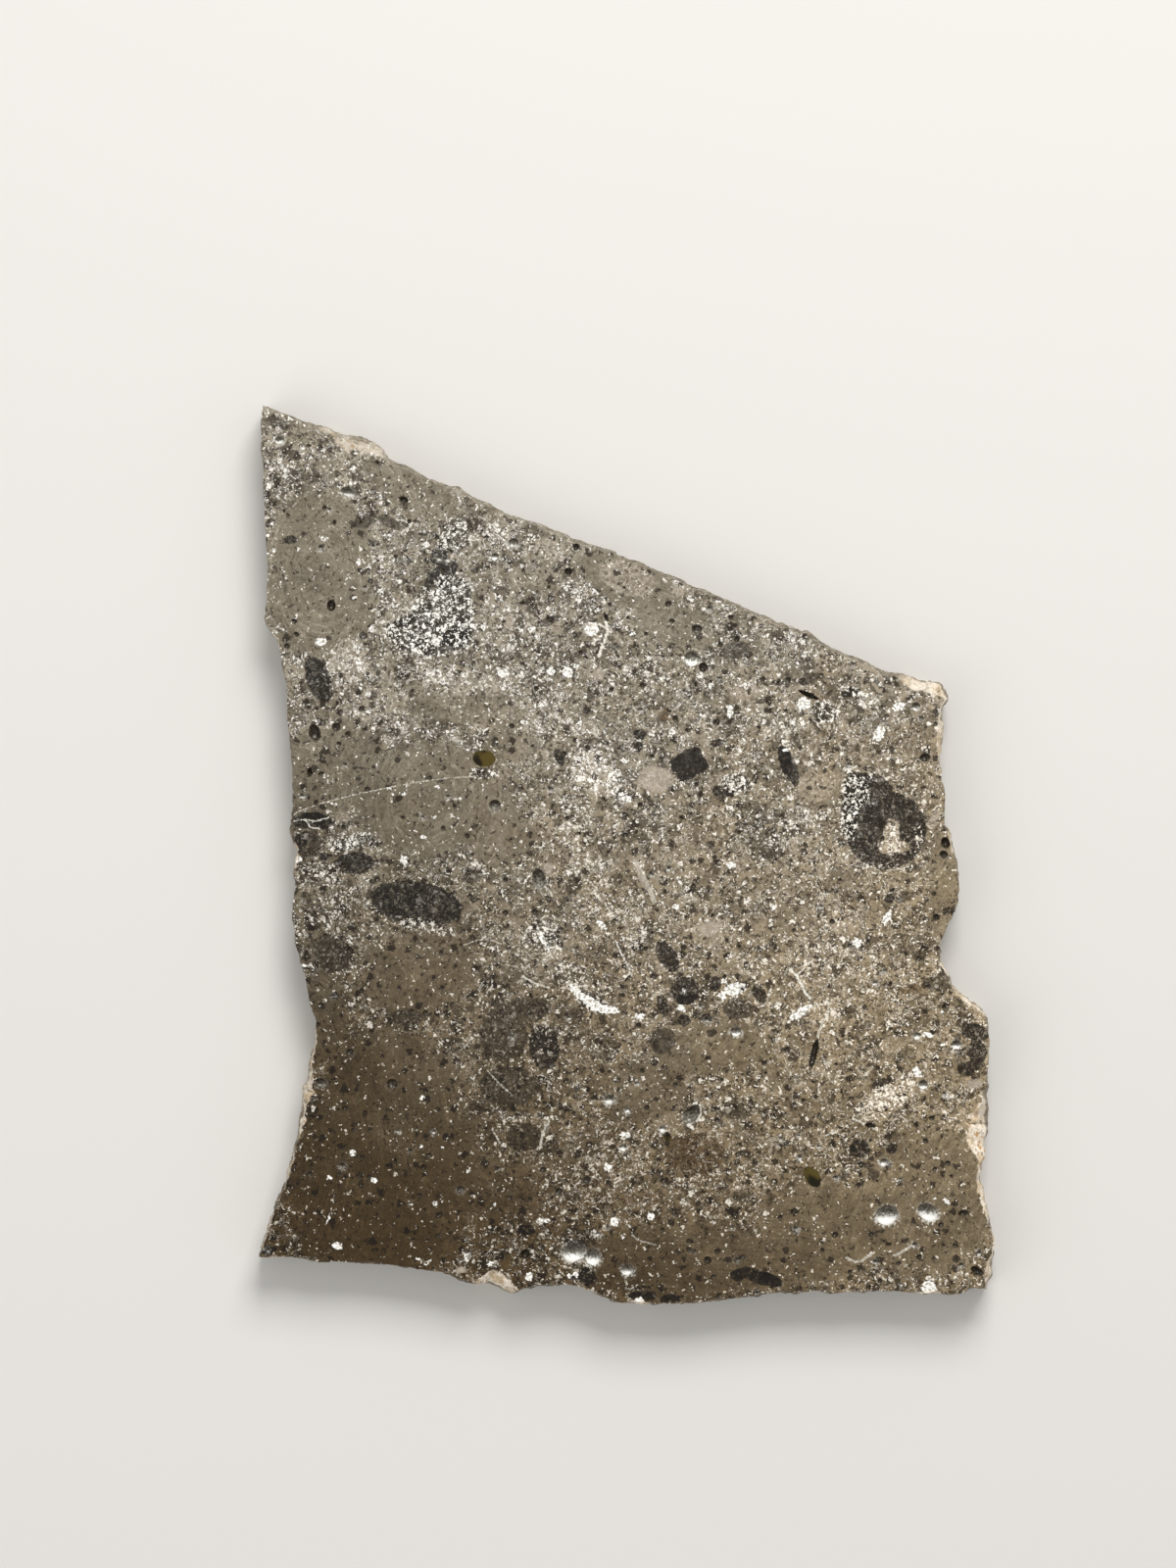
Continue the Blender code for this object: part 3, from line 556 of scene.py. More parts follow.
def rim_widths(places, rims):
    """Return the broken rim's widths, roughened."""
    crumbs = np.abs(noise_at(places, 0.0, RIM_CRUMB, SEEDS["rim crumb"]))
    swing = 1 + RIM_SWING * noise_at(places, 0.0, RIM_GRAIN, SEEDS["rim"])
    return np.maximum(rims * swing + crumbs * RIM_CRUMB_MM * MM, RIM_LEAST)


def wall_swings(places, heights):
    """Return how far in each row of the wall lies by its lumps and grains."""
    swings = []
    for height in heights:
        lump = noise_at(places, height, WALL_LUMP)
        grain = noise_at(places, height, WALL_GRAIN, SEEDS["grain"])
        swings.append(WALL_RELIEF * (WALL_STEADY + WALL_LUMPY * lump + WALL_GRAINY * grain))
    swings = np.array(swings)
    return swings - swings.min(0)


def wall_rows(places, wall_top):
    """Return the inset and height of each row of the wall, from the base up."""
    heights = [level * wall_top for level in np.linspace(0.0, 1.0, WALL_ROWS + 1)]
    rows = []
    for row, (height, inset) in enumerate(zip(heights, wall_swings(places, heights))):
        crumb = np.abs(noise_at(places, height, WALL_CRUMB, SEEDS["crumb"])) * CRUMB_RELIEF * 2
        inset = inset + crumb
        if row == 0:
            swing = noise_at(places, 0.0, WALL_GRAIN, SEEDS["underside"])
            inset += UNDERSIDE_RIM * (1 + UNDERSIDE_SWING * swing)
        if 0 < row < WALL_ROWS:
            height = height + ROW_SWING * noise_at(places, height, WALL_GRAIN, SEEDS["row"])
        rows.append((inset, height))
    return rows


def rim_rows(places, shoulder, rims, wall_top, depth):
    """Return the inset and height of each row of the rim, from the wall to the face."""
    rows = []
    for row in range(1, CHAMFER_ROWS + 1):
        level = row / CHAMFER_ROWS
        bulge = CHAMFER_BULGE * math.sin(math.pi * level)
        inset = shoulder + (rims - shoulder) * (level - bulge)
        height = wall_top + level * depth
        if row < CHAMFER_ROWS:
            ripple = noise_at(places, height, RIPPLE_SIZE, SEEDS["ripple"])
            height = height + ripple * np.minimum(depth, RIPPLE_DEPTH) * RIPPLE_SHARE
        rows.append((inset, height))
    return rows


def wall_rings():
    """Return the rings of points of the wall and the rim, from the base up to the face."""
    places, rims = walk_outline()
    inward = inward_directions(places)
    rims = rim_widths(places, rims)
    depth = np.minimum(CHAMFER_LEAST_DEPTH + CHAMFER_SLOPE * rims, CHAMFER_MOST_DEPTH)
    wall_top = THICKNESS - depth
    rows = wall_rows(places, wall_top)
    rows += rim_rows(places, rows[-1][0], rims, wall_top, depth)
    rings = []
    for inset, height in rows:
        spots = places + inward * ease_folds(places, inward, inset)[:, None]
        rings.append(np.column_stack((spots, np.broadcast_to(height, (len(places),)))))
    return rings


def ellipse_reach(places, u, v, length, width, turn, power=2):
    """Return each place's distance from an oval's middle, 1 on its outline."""
    centre = from_sheet((u, v))
    offset = places - centre
    angle = math.radians(turn)
    along = offset[:, 0] * math.cos(angle) + offset[:, 1] * math.sin(angle)
    across = -offset[:, 0] * math.sin(angle) + offset[:, 1] * math.cos(angle)
    along = np.abs(along / (length / 2 * STEP)) ** power
    across = np.abs(across / (width / 2 * STEP)) ** power
    return (along + across) ** (1 / power)


def oval_size(length, width):
    """Return an oval's mean half width in mm."""
    return math.sqrt(length * width) / 2 * STEP / MM


def clast_depth(places, clasts, limit=0.6, power=2):
    """Return how deep each place is inside the nearest of some ovals, in mm."""
    depth = np.full(len(places), -limit)
    for clast in clasts:
        share = 1.0 - ellipse_reach(places, *clast, power)
        depth = np.maximum(depth, share * oval_size(*clast[2:4]))
    return np.clip(depth, -limit, limit)


def zone_strength(places, zones):
    """Return how strong some soft-edged zones are at each place."""
    strength = np.zeros(len(places))
    for *zone, force in zones:
        share = np.clip((ZONE_END - ellipse_reach(places, *zone)) / ZONE_EDGE, 0, 1)
        strength = np.maximum(strength, share * force)
    return strength


def swirl_reach(places):
    """Return each place's distance from the middle of the swirl round it, in mm."""
    return np.min([
        ellipse_reach(places, *swirl) * oval_size(*swirl[2:4]) for swirl in SWIRLS
    ], axis=0)


def vein_depth(places, veins, limit=0.25):
    """Return how near each place is to a crack's line, in mm, and the crack's strength."""
    depth = np.full(len(places), -limit)
    strength = np.zeros(len(places))
    for half_width, force, points in veins:
        line = from_sheet(points)
        for start, end in zip(line, line[1:]):
            side = end - start
            share = np.clip(((places - start) @ side) / (side @ side), 0.0, 1.0)
            gap = np.linalg.norm(places - (start + share[:, None] * side), axis=1)
            nearness = (half_width * STEP - gap) / MM
            nearer = nearness > depth
            depth[nearer] = nearness[nearer]
            strength[nearer] = force
    return np.clip(depth, -limit, limit), strength


def inside_polygon(points, polygon):
    """Tell for each point whether it is inside a closed polygon."""
    within = np.zeros(len(points), dtype=bool)
    x, y = points[:, 0], points[:, 1]
    for start, end in zip(polygon, np.roll(polygon, -1, 0)):
        crosses = (start[1] > y) != (end[1] > y)
        if not crosses.any():
            continue
        at = start[0] + (y[crosses] - start[1]) / (end[1] - start[1]) * (end[0] - start[0])
        hit = np.zeros_like(within)
        hit[crosses] = x[crosses] < at
        within ^= hit
    return within


def far_from(points, line, gap, batches=40, parts=12):
    """Tell for each point whether it is farther than a gap from every point of a line."""
    far = np.ones(len(points), dtype=bool)
    for batch in np.array_split(np.arange(len(points)), batches):
        nearest = np.min([
            np.linalg.norm(points[batch][:, None] - part[None], axis=2).min(1)
            for part in np.array_split(line, parts)
        ], axis=0)
        far[batch] = nearest > gap
    return far


def sheet_points(ring, spacing, seed):
    """Return a jittered triangular grid of points inside a ring, clear of its line."""
    draw = np.random.default_rng(seed)
    low, high = ring.min(0), ring.max(0)
    rows = np.arange(low[1], high[1], spacing * math.sqrt(3) / 2)
    points = []
    for number, y in enumerate(rows):
        x = np.arange(low[0] + (number % 2) * spacing / 2, high[0], spacing)
        points.append(np.column_stack((x, np.full(len(x), y))))
    points = np.concatenate(points)
    points += draw.uniform(-GRID_JITTER, GRID_JITTER, points.shape) * spacing
    points = points[inside_polygon(points, ring)]
    return points[far_from(points, ring, spacing * GRID_CLEAR)]


def pit_points(pits):
    """Return rings of points round and inside each pit."""
    points = []
    for u, v, length, width, turn, _, _ in pits:
        centre = from_sheet((u, v))
        angle = math.radians(turn)
        sides = int(np.clip(round(math.pi * (length + width) / 2 / PIT_SIDE), *PIT_SIDES))
        points.append(centre[None])
        for reach, share in PIT_RINGS:
            around = np.arange(max(PIT_LEAST_SIDES, round(sides * share))) * 2 * math.pi
            around = around / len(around) + reach * PIT_RING_TURN
            along = np.cos(around) * length / 2 * STEP * reach
            across = np.sin(around) * width / 2 * STEP * reach
            x = along * math.cos(angle) - across * math.sin(angle)
            y = along * math.sin(angle) + across * math.cos(angle)
            points.append(centre + np.column_stack((x, y)))
    return points


def vein_points(veins):
    """Return rows of points beside each crack, so that its edges stay crisp."""
    points = []
    for half_width, _, bends in veins:
        line = from_sheet(bends)
        aside = half_width * STEP * VEIN_MARGIN
        for start, end in zip(line, line[1:]):
            side = end - start
            span = np.linalg.norm(side)
            across = np.array((-side[1], side[0])) / span
            for share in np.arange(0.0, 1.0, VEIN_SPACING / span):
                middle = start + share * side
                points.append([middle + across * offset for offset in (0.0, aside, -aside)])
    return points


def pit_state(places, pits):
    """Return how deep and hollow each place is by the pits, and how strong the painted highlights in
    them and on their lips are.
    """
    sink, hollow, pit_highlight, lip_highlight = np.zeros((4, len(places)))
    for u, v, length, width, turn, depth, white in pits:
        reach = ellipse_reach(places, u, v, length, width, turn)
        close = np.flatnonzero(reach < PIT_REACH)
        near = reach[close]
        within = near < 1.0
        bowl = np.where(within, np.sqrt(np.clip(1 - near ** BOWL_POWER, 0, 1)), 0.0)
        sink[close] = np.maximum(sink[close], bowl * depth * STEP)
        inner = np.clip((LIP_REACH - near) / HOLLOW_EDGE, 0, 1)
        hollow[close] = np.maximum(hollow[close], inner)
        # The painted highlight grows towards the pit's lower side, away from the light; so does the
        # one on its lip.
        below = from_sheet((u, v))[1] - places[close, 1]
        lower = below / (max(width, length) / 2 * STEP)
        lower = np.clip(lower * HIGHLIGHT_SLOPE + HIGHLIGHT_MIDDLE, HIGHLIGHT_LEAST, 1) * white
        pit_highlight[close] = np.maximum(pit_highlight[close], np.where(within, lower, 0.0))
        edge = np.clip(1 - np.abs(near - LIP_REACH) / LIP_WIDTH, 0, 1) * white
        edge *= np.clip(below / (width / 2 * STEP) + LIP_START, LIP_LEAST, 1)
        lip_highlight[close] = np.maximum(lip_highlight[close], edge)
    return sink, hollow, pit_highlight, lip_highlight


def placed_pits():
    """Return the placed pits of the face, open and small, in one form."""
    length, width, turn, depth = SMALL_PIT_SHAPE
    return list(FACE_PITS) + [
        (u, v, size * length, size * width, turn, size * depth, pit_highlight)
        for u, v, size, pit_highlight in SMALL_PITS
    ]


def scattered_pits(ring, seed, amount, taken):
    """Scatter tiny pits over a sheet, clear of each other and of the pits it has."""
    draw = random.Random(seed)
    low, high = ring.min(0), ring.max(0)
    pits = []
    while len(pits) < amount:
        place = np.array((draw.uniform(low[0], high[0]), draw.uniform(low[1], high[1])))
        size = draw.uniform(*TINY_SIZES)
        white = draw.choice(TINY_HIGHLIGHTS)
        if not inside_polygon(place[None], ring)[0]:
            continue
        u = place[0] / STEP + MIDDLE_U
        v = MIDDLE_V - place[1] / STEP
        if any(
            math.hypot(u - pit[0], v - pit[1]) < (pit[2] + size) * TINY_CLEAR + TINY_GAP
            for pit in taken + pits
        ):
            continue
        width = size * draw.uniform(*TINY_WIDTHS)
        pits.append((u, v, size, width, draw.uniform(0, 180), size * TINY_DEPTH, white))
    return pits


def triangulate(ring, inner):
    """Fill a ring with triangles through the inner points; the ring's points come first."""
    points = [Vector(point) for point in np.concatenate((ring, inner)).tolist()]
    count = len(ring)
    outline = [list(range(count))]
    verts, _, faces, origins, _, _ = delaunay_2d_cdt(points, [], outline, 1, MERGE_GAP, True)
    found = np.array([(vert.x, vert.y) for vert in verts])
    faces = np.array(faces)
    home = {}
    for index, sources in enumerate(origins):
        for source in sources:
            home[source] = index
    order = [home[index] for index in range(count)]
    taken = set(order)
    order += [index for index in range(len(found)) if index not in taken]
    place_of = np.empty(len(found), dtype=int)
    place_of[order] = np.arange(len(found))
    within = inside_polygon(found[faces].mean(1), ring)
    return found[order], place_of[faces[within]]


def thin_out(points, fixed, gap):
    """Drop the points that stand nearer than a gap to any fixed point."""
    cells = {}
    for x, y in fixed.tolist():
        cells.setdefault((int(x // gap), int(y // gap)), []).append((x, y))
    keep = []
    for x, y in points.tolist():
        i, j = int(x // gap), int(y // gap)
        close = any(
            (x - a) ** 2 + (y - b) ** 2 < gap * gap
            for di in (-1, 0, 1) for dj in (-1, 0, 1)
            for a, b in cells.get((i + di, j + dj), ())
        )
        keep.append(not close)
    return points[np.array(keep)]


def lay_sheet(ring, spacing, pits, veins, seed):
    """Return the points and triangles of a sheet that is finer at its pits and cracks."""
    grid = sheet_points(ring, spacing, seed)
    detail = np.concatenate(pit_points(pits) + vein_points(veins))
    detail = detail[inside_polygon(detail, ring)]
    detail = thin_out(detail, ring, DETAIL_CLEAR)
    grid = thin_out(grid, detail, spacing * GRID_THIN)
    return triangulate(ring, np.concatenate((detail, grid)))


def shifted(clasts, seed):
    """Return the clasts as the back shows them: moved a little, small ones elsewhere."""
    draw = random.Random(seed)
    moved = []
    for u, v, length, width, turn, *rest in clasts:
        through = max(length, width) >= THROUGH_SIZE
        shift, sizes = (THROUGH_SHIFT, THROUGH_SIZES) if through else (OTHER_SHIFT, OTHER_SIZES)
        u += draw.uniform(-shift, shift)
        v += draw.uniform(-shift, shift)
        grown = draw.uniform(*sizes)
        turn += draw.uniform(-BACK_TURN, BACK_TURN)
        moved.append((u, v, length * grown, width * grown, turn, *rest))
    return moved


def sheet_marks(places, is_back):
    """Return the named marks of the rock at some places, each an array of numbers."""
    lists = PLACED_LISTS
    if is_back:
        lists = {
            name: shifted(group, BACK_SEED + number)
            for number, (name, group) in enumerate(lists.items())
        }
    marks = {
        name: clast_depth(places, group, power=JET_POWER if name == "jet" else 2)
        for name, group in lists.items() if name not in ZONES
    }
    for name in ZONES:
        marks[name] = zone_strength(places, lists[name])
    marks["swirl"] = swirl_reach(places)
    marks["vein"], marks["vein_force"] = vein_depth(places, () if is_back else VEINS)
    return marks


def wall_map(rings):
    """Return where the corners of the wall's triangles lie on the flat map."""
    line = rings[0][:, :2]
    count = len(line)
    sides = np.linalg.norm(np.roll(line, -1, 0) - line, axis=1)
    along = np.concatenate(([0.0], np.cumsum(sides)))
    strip = np.arange(count) * MAP_STRIPS // count
    starts = np.searchsorted(strip, np.arange(MAP_STRIPS))
    ends = np.append(starts[1:], count)
    scale = (1 - 2 * MAP_MARGIN) / (along[ends] - along[starts]).max()
    levels = np.linspace(0.0, MAP_STRIP_HEIGHT, len(rings))[:, None]
    heights = MAP_MARGIN + strip * MAP_STRIP_PITCH + levels
    low, high = heights[:-1], heights[1:]
    left, right = (
        np.broadcast_to((ends_at - along[starts][strip]) * scale + MAP_MARGIN, low.shape)
        for ends_at in (along[:-1], along[1:])
    )
    corners = ((left, low), (right, low), (right, high), (left, high))
    corners = [np.stack(corner, -1) for corner in corners]
    lower = np.stack((corners[0], corners[1], corners[2]), -2).reshape(-1, 3, 2)
    upper = np.stack((corners[0], corners[2], corners[3]), -2).reshape(-1, 3, 2)
    return np.concatenate((lower, upper))


def sheet_map(places, is_back):
    """Return where places on the face or the back lie on the flat map."""
    if is_back:
        x, y = BOX_HIGH.x - places[..., 0], places[..., 1] - BOX_LOW.y
        return np.stack((x, y), -1) * MAP_BACK_SCALE + MAP_BACK_PLACE
    return (places - (BOX_LOW.x, BOX_LOW.y)) * MAP_FACE_SCALE + MAP_FACE_PLACE


def wall_triangles(rows, count):
    """Return the triangles between the rings of the wall."""
    start = np.arange(rows - 1)[:, None] * count
    index = np.arange(count)[None]
    after = (index + 1) % count
    lower = np.stack((start + index, start + after, start + count + after), -1)
    upper = np.stack((start + index, start + count + after, start + count + index), -1)
    return np.concatenate((lower.reshape(-1, 3), upper.reshape(-1, 3)))


def rock_marks(verts, count, wall_size):
    """Return the marks of the rock at every point of the slice, but for its pits."""
    places = verts[:, :2]
    behind = verts[:, 2] < THICKNESS * 0.5
    front_marks = sheet_marks(places, False)
    back_marks = sheet_marks(places, True)
    marks = {
        name: np.where(behind, back_marks[name], front) for name, front in front_marks.items()
    }
    broken = np.zeros(len(verts))
    broken[:wall_size] = 1.0
    broken[wall_size - CHAMFER_ROWS * count:wall_size] = RIM_BROKEN
    broken[wall_size - count:wall_size] = EDGE_BROKEN
    broken[:count] = EDGE_BROKEN
    marks["broken"] = broken
    marks["pale_rim"] = zone_strength(places, PALE_RIMS)
    return marks


def make_mesh(verts, tris, corners, marks):
    """Make the slice's mesh with its flat map and the marks of the rock."""
    mesh = bpy.data.meshes.new("slice")
    mesh.from_pydata(verts.tolist(), [], tris.tolist())
    mesh.update()
    flat_map = mesh.uv_layers.new(name=MAP_NAME)
    flat_map.data.foreach_set("uv", corners.ravel().astype(np.float32))
    for name, values in marks.items():
        mark = mesh.attributes.new(name, "FLOAT", "POINT")
        mark.data.foreach_set("value", values.astype(np.float32))
    mesh.shade_smooth()
    mesh.set_sharp_from_angle(angle=SHARP_ANGLE)
    return mesh


def build_slice():
    """Build the slice: walls, face and back, with the marks of the rock on them."""
    rings = wall_rings()
    count = len(rings[0])
    wall = np.concatenate(rings)
    top, base = rings[-1][:, :2], rings[0][:, :2]
    pits = placed_pits()
    pits += scattered_pits(top, FACE_PIT_SEED, FACE_TINY_PITS, pits)
    back_pits = list(BACK_PITS)
    back_pits += scattered_pits(base, BACK_PIT_SEED, BACK_TINY_PITS, back_pits)
    face, face_tris = lay_sheet(top, FACE_SPACING, pits, VEINS, FACE_GRID_SEED)
    back, back_tris = lay_sheet(base, BACK_SPACING, back_pits, (), BACK_GRID_SEED)
    face, back = face[count:], back[count:]
    face_sink, *face_pitted = pit_state(face, pits)
    back_sink, *back_pitted = pit_state(back, back_pits)
    verts = np.concatenate((
        wall, np.column_stack((face, THICKNESS - face_sink)), np.column_stack((back, back_sink)),
    ))
    face_start = len(wall)
    back_start = face_start + len(face)
    face_tris = face_tris + face_start - count
    back_tris = back_tris + np.where(back_tris < count, 0, back_start - count)
    back_tris = back_tris[:, ::-1]
    tris = np.concatenate((wall_triangles(len(rings), count), face_tris, back_tris))
    places = verts[:, :2]
    corners = np.concatenate((
        wall_map(rings), sheet_map(places[face_tris], False), sheet_map(places[back_tris], True),
    ))
    marks = rock_marks(verts, count, len(wall))
    bare = np.zeros(len(wall))
    for name, front, behind in zip(("hollow", "pit_highlight", "lip_highlight"), face_pitted, back_pitted):
        marks[name] = np.concatenate((bare, front, behind))
    piece = bpy.data.objects.new("slice", make_mesh(verts, tris, corners, marks))
    link(piece)
    return piece


# Colours as a screen shows them. A look has a darker and a lighter colour and a strength,
# the share of the rock under it that it covers; a paint has one colour and a strength.
LOOKS = {
    "mass": ((46, 40, 29), (116, 108, 92), 1.0),
    "fragment": ((50, 44, 34), (156, 147, 129), 1.0),
    "edge": ((44, 38, 30), (186, 178, 160), 0.5),
    "pale": ((106, 96, 82), (202, 193, 176), 0.62),
    "dusky": ((36, 33, 26), (94, 88, 77), 0.82),
    "brown": ((22, 13, 5), (130, 108, 78), 0.74),
    "black": ((15, 13, 10), (130, 122, 107), 0.95),
    "jet": ((15, 12, 10), (112, 102, 90), 0.95),
    "grain": ((150, 143, 128), (255, 253, 246), 0.85),
    "froth": ((150, 143, 128), (255, 253, 246), 0.92),
    "white": ((172, 166, 152), (255, 254, 250), 0.95),
    "cream": ((146, 134, 120), (184, 173, 158), 0.68),
    "bead": ((26, 22, 7), (80, 67, 27), 1.0),
    "wall": ((66, 58, 46), (168, 158, 140), 0.62),
    "pale_rim": ((224, 200, 166), (255, 244, 228), 0.9),
    # The next look is painted shade in the pits, dark on their upper side and lighter towards their
    # lower side.
    "pit_shading": ((52, 44, 33), (128, 124, 114), 1.0),
}
PAINTS = {
    "pale mass": ((186, 179, 160), 1.0), "hair": ((178, 170, 153), 1.0),
    "net": ((172, 164, 147), 0.55), "seam": ((42, 36, 27), 1.0),
    "dark grain": ((30, 22, 12), 0.85), "pepper": ((34, 26, 16), 0.72),
    # The first paint on the next line is painted shade between the froth's white grains.
    "froth shadow": ((30, 28, 22), 1.0), "crack": ((232, 228, 216), 1.0),
    "stain": ((206, 160, 106), 1.0), "dirt": ((120, 108, 90), 1.0),
    # The paints on the next line are painted highlights in the pits, on their lower walls and on
    # their lower lips.
    "pit_highlight": ((252, 252, 248), 1.0), "lip_highlight": ((246, 243, 234), 0.8),
}

# Painted sheen, light and shade painted into the colour: factors of the colour at the dark low left
# and at the top right, how it rises per mm to the right and up, how much clouds sway it, and where
# it begins and ends.
SHEEN_LOW = (0.220, 0.158, 0.072, 1.0)
SHEEN_HIGH = (1.075, 1.02, 0.947, 1.0)
SHEEN_RISE = (0.018, 0.024)
SHEEN_CLOUD = 0.25
SHEEN_RANGE = (-0.58, 0.12)

# Tint, partly the rock's own hue and partly the painted sheen, which greys the face high up:
# warm low down and to the right, cool high up and to the left, and swayed in mm.
TINT_WARM = (1.05, 0.975, 0.865, 1.0)
TINT_COOL = (0.97, 1.005, 1.09, 1.0)
TINT_RISE = (-0.5, 1.0)
TINT_SWAY = 22.0
TINT_RANGE = (-16.0, 12.0)

# The share of the painted sheen and the tint that white grains don't take.
WHITE_KEEPS = 0.55
FULL = (1.0, 1.0, 1.0, 1.0)

# Streaks: per mm away from a swirl's middle, across the sheet and up it.
FLOW_SCALES = (6.5, 0.75, 0.75)

# Scattered grains: cells per mm, and the least and most reach of a grain in its cell.
DARK_GRAINS = (2.6, 0.22, 0.46)
PEPPER = (6.5, 0.3, 0.5)
BIG_WHITES = (2.6, 0.16, 0.36)
SMALL_WHITES = (5.6, 0.16, 0.44)
WHITE_DUST = (10.5, 0.26, 0.52)
FROTH_LUMPS = (4.6, 0.22, 0.56)
FROTH_CRUMBS = (9.5, 0.30, 0.58)

# Curling lines: waves per mm, how wide, and how much of their length is missing.
HAIRS = (8.0, 0.05, 0.44)
PALE_NET = (3.1, 0.022, 0.40)
DARK_SEAMS = (4.3, 0.03, 0.42)
LONG_WISPS = (2.6, 0.013, 0.51)
SHORT_WISPS = (5.2, 0.020, 0.52)

# Broken pieces: cells per mm, the share that shows, and their strength on quiet and on
# busy ground. Those of at least FINEST cells per mm have no rims.
FRAGMENTS = ((0.75, 0.5, 0.06, 0.5), (1.7, 0.6, 0.07, 0.66), (4.2, 0.55, 0.16, 0.7))
FINEST = 4

# How placed rock lies in the slice: its kind, and how soft and how ragged its edge is.
PLACED = (
    ("pale", 0.05, 1.1), ("dusky", 0.03, 1.0), ("brown", 0.10, 1.4), ("black", 0.02, 0.7),
    ("jet", 0.02, 0.6),
)

# How much of the white grains each kind of placed rock keeps off: (kind, edge, share).
COVERS = (("dusky", 0.05, 0.6), ("black", 0.03, 0.75), ("jet", 0.03, 0.95), ("brown", 0.03, 0.5))

# Roughness: on the face, what grain and broken walls add, what glass takes, the least.
SPECULAR = 0.26
ROUGH_FACE = 0.42
ROUGH_GRAIN = 0.5
ROUGH_WALL = 0.34
ROUGH_GLASS = 0.24
ROUGH_LEAST = 0.1
BUMP_DEPTH = 0.06 * MM
BUMP_FACE = 0.16
BUMP_WALL = 0.5


def srgb(red, green, blue):
    """Turn a colour of 0 to 255 as a screen shows it into the shader's linear values."""
    linear = []
    for value in (red, green, blue):
        value /= 255
        linear.append(value / 12.92 if value <= 0.04045 else ((value + 0.055) / 1.055) ** 2.4)
    return (*linear, 1.0)


class Nodes:
    """Short names for building a material's nodes."""

    def __init__(self, material):
        self.tree = material.node_tree

    def new(self, kind, **settings):
        node = self.tree.nodes.new(kind)
        for name, value in settings.items():
            setattr(node, name, value)
        return node

    def feed(self, socket, value):
        if isinstance(value, bpy.types.NodeSocket):
            self.tree.links.new(value, socket)
        elif value is not None:
            socket.default_value = value

    def math(self, operation, first, second=None):
        node = self.new("ShaderNodeMath", operation=operation)
        self.feed(node.inputs[0], first)
        self.feed(node.inputs[1], second)
        return node.outputs[0]

    def add(self, first, second):
        return self.math("ADD", first, second)

    def sub(self, first, second):
        return self.math("SUBTRACT", first, second)

    def mul(self, first, *others):
        for other in others:
            first = self.math("MULTIPLY", first, other)
        return first

    def most(self, first, *others):
        for other in others:
            first = self.math("MAXIMUM", first, other)
        return first

    def step(self, value, low, high, start=0.0, end=1.0):
        node = self.new("ShaderNodeMapRange", interpolation_type="SMOOTHSTEP")
        for socket, number in zip(node.inputs, (value, low, high, start, end)):
            self.feed(socket, number)
        return node.outputs[0]

    def mix(self, share, first, second, blend="MIX"):
        node = self.new("ShaderNodeMix", data_type="RGBA", blend_type=blend)
        self.feed(node.inputs[0], share)
        self.feed(node.inputs[6], first)
        self.feed(node.inputs[7], second)
        return node.outputs[2]

    def look(self, share, name):
        darker, lighter, _ = LOOKS[name]
        return self.mix(share, srgb(*darker), srgb(*lighter))

    def lay(self, rock, mask, share, name):
        return self.mix(self.mul(mask, LOOKS[name][-1]), rock, self.look(share, name))

    def paint(self, rock, mask, name):
        colour, strength = PAINTS[name]
        return self.mix(self.mul(mask, strength), rock, srgb(*colour))

    def mark(self, name):
        return self.new("ShaderNodeAttribute", attribute_name=name).outputs["Fac"]

    def noise(self, place, scale, detail=2.0, roughness=0.5, colour=False):
        node = self.new("ShaderNodeTexNoise")
        self.feed(node.inputs["Vector"], place)
        self.feed(node.inputs["Scale"], scale)
        self.feed(node.inputs["Detail"], detail)
        self.feed(node.inputs["Roughness"], roughness)
        return node.outputs["Color" if colour else 0]

    def swing(self, place, scale, detail, roughness):
        return self.sub(self.noise(place, scale, detail, roughness), 0.5)

    def cells(self, place, scale):
        node = self.new("ShaderNodeTexVoronoi")
        self.feed(node.inputs["Vector"], place)
        self.feed(node.inputs["Scale"], scale)
        rolls = self.new("ShaderNodeSeparateColor")
        self.feed(rolls.inputs[0], node.outputs["Color"])
        return node.outputs["Distance"], rolls.outputs

    def split(self, place):
        node = self.new("ShaderNodeSeparateXYZ")
        self.feed(node.inputs[0], place)
        return node.outputs

    def vector(self, operation, first, second):
        node = self.new("ShaderNodeVectorMath", operation=operation)
        self.feed(node.inputs[0], first)
        self.feed(node.inputs["Scale" if operation == "SCALE" else 1], second)
        return node.outputs[0]

    def warp(self, place, scale, amount):
        by = self.noise(place, scale, 2.0, 0.6, colour=True)
        centred = self.vector("SUBTRACT", by, (0.5, 0.5, 0.5))
        return self.vector("ADD", place, self.vector("SCALE", centred, amount))


def specks(n, place, size, share):
    """Return a mask of scattered grains of one size, of which a share shows."""
    scale, least, most = size
    distance, rolls = n.cells(place, scale)
    reach = n.step(rolls[0], 0.0, 1.0, least, most)
    grain = n.step(n.sub(distance, reach), 0.04, -0.04)
    return n.mul(grain, n.math("LESS_THAN", rolls[1], share))


def threads(n, place, kind):
    """Return a mask of thin curling lines of one kind, broken up by a coarser noise."""
    scale, width, cover = kind
    curl = n.math("ABSOLUTE", n.swing(place, scale, 2.0, 0.55))
    line = n.step(curl, width, width * 0.4)
    return n.mul(line, n.step(n.noise(place, scale * 0.55, 1.0), cover, cover + 0.06))


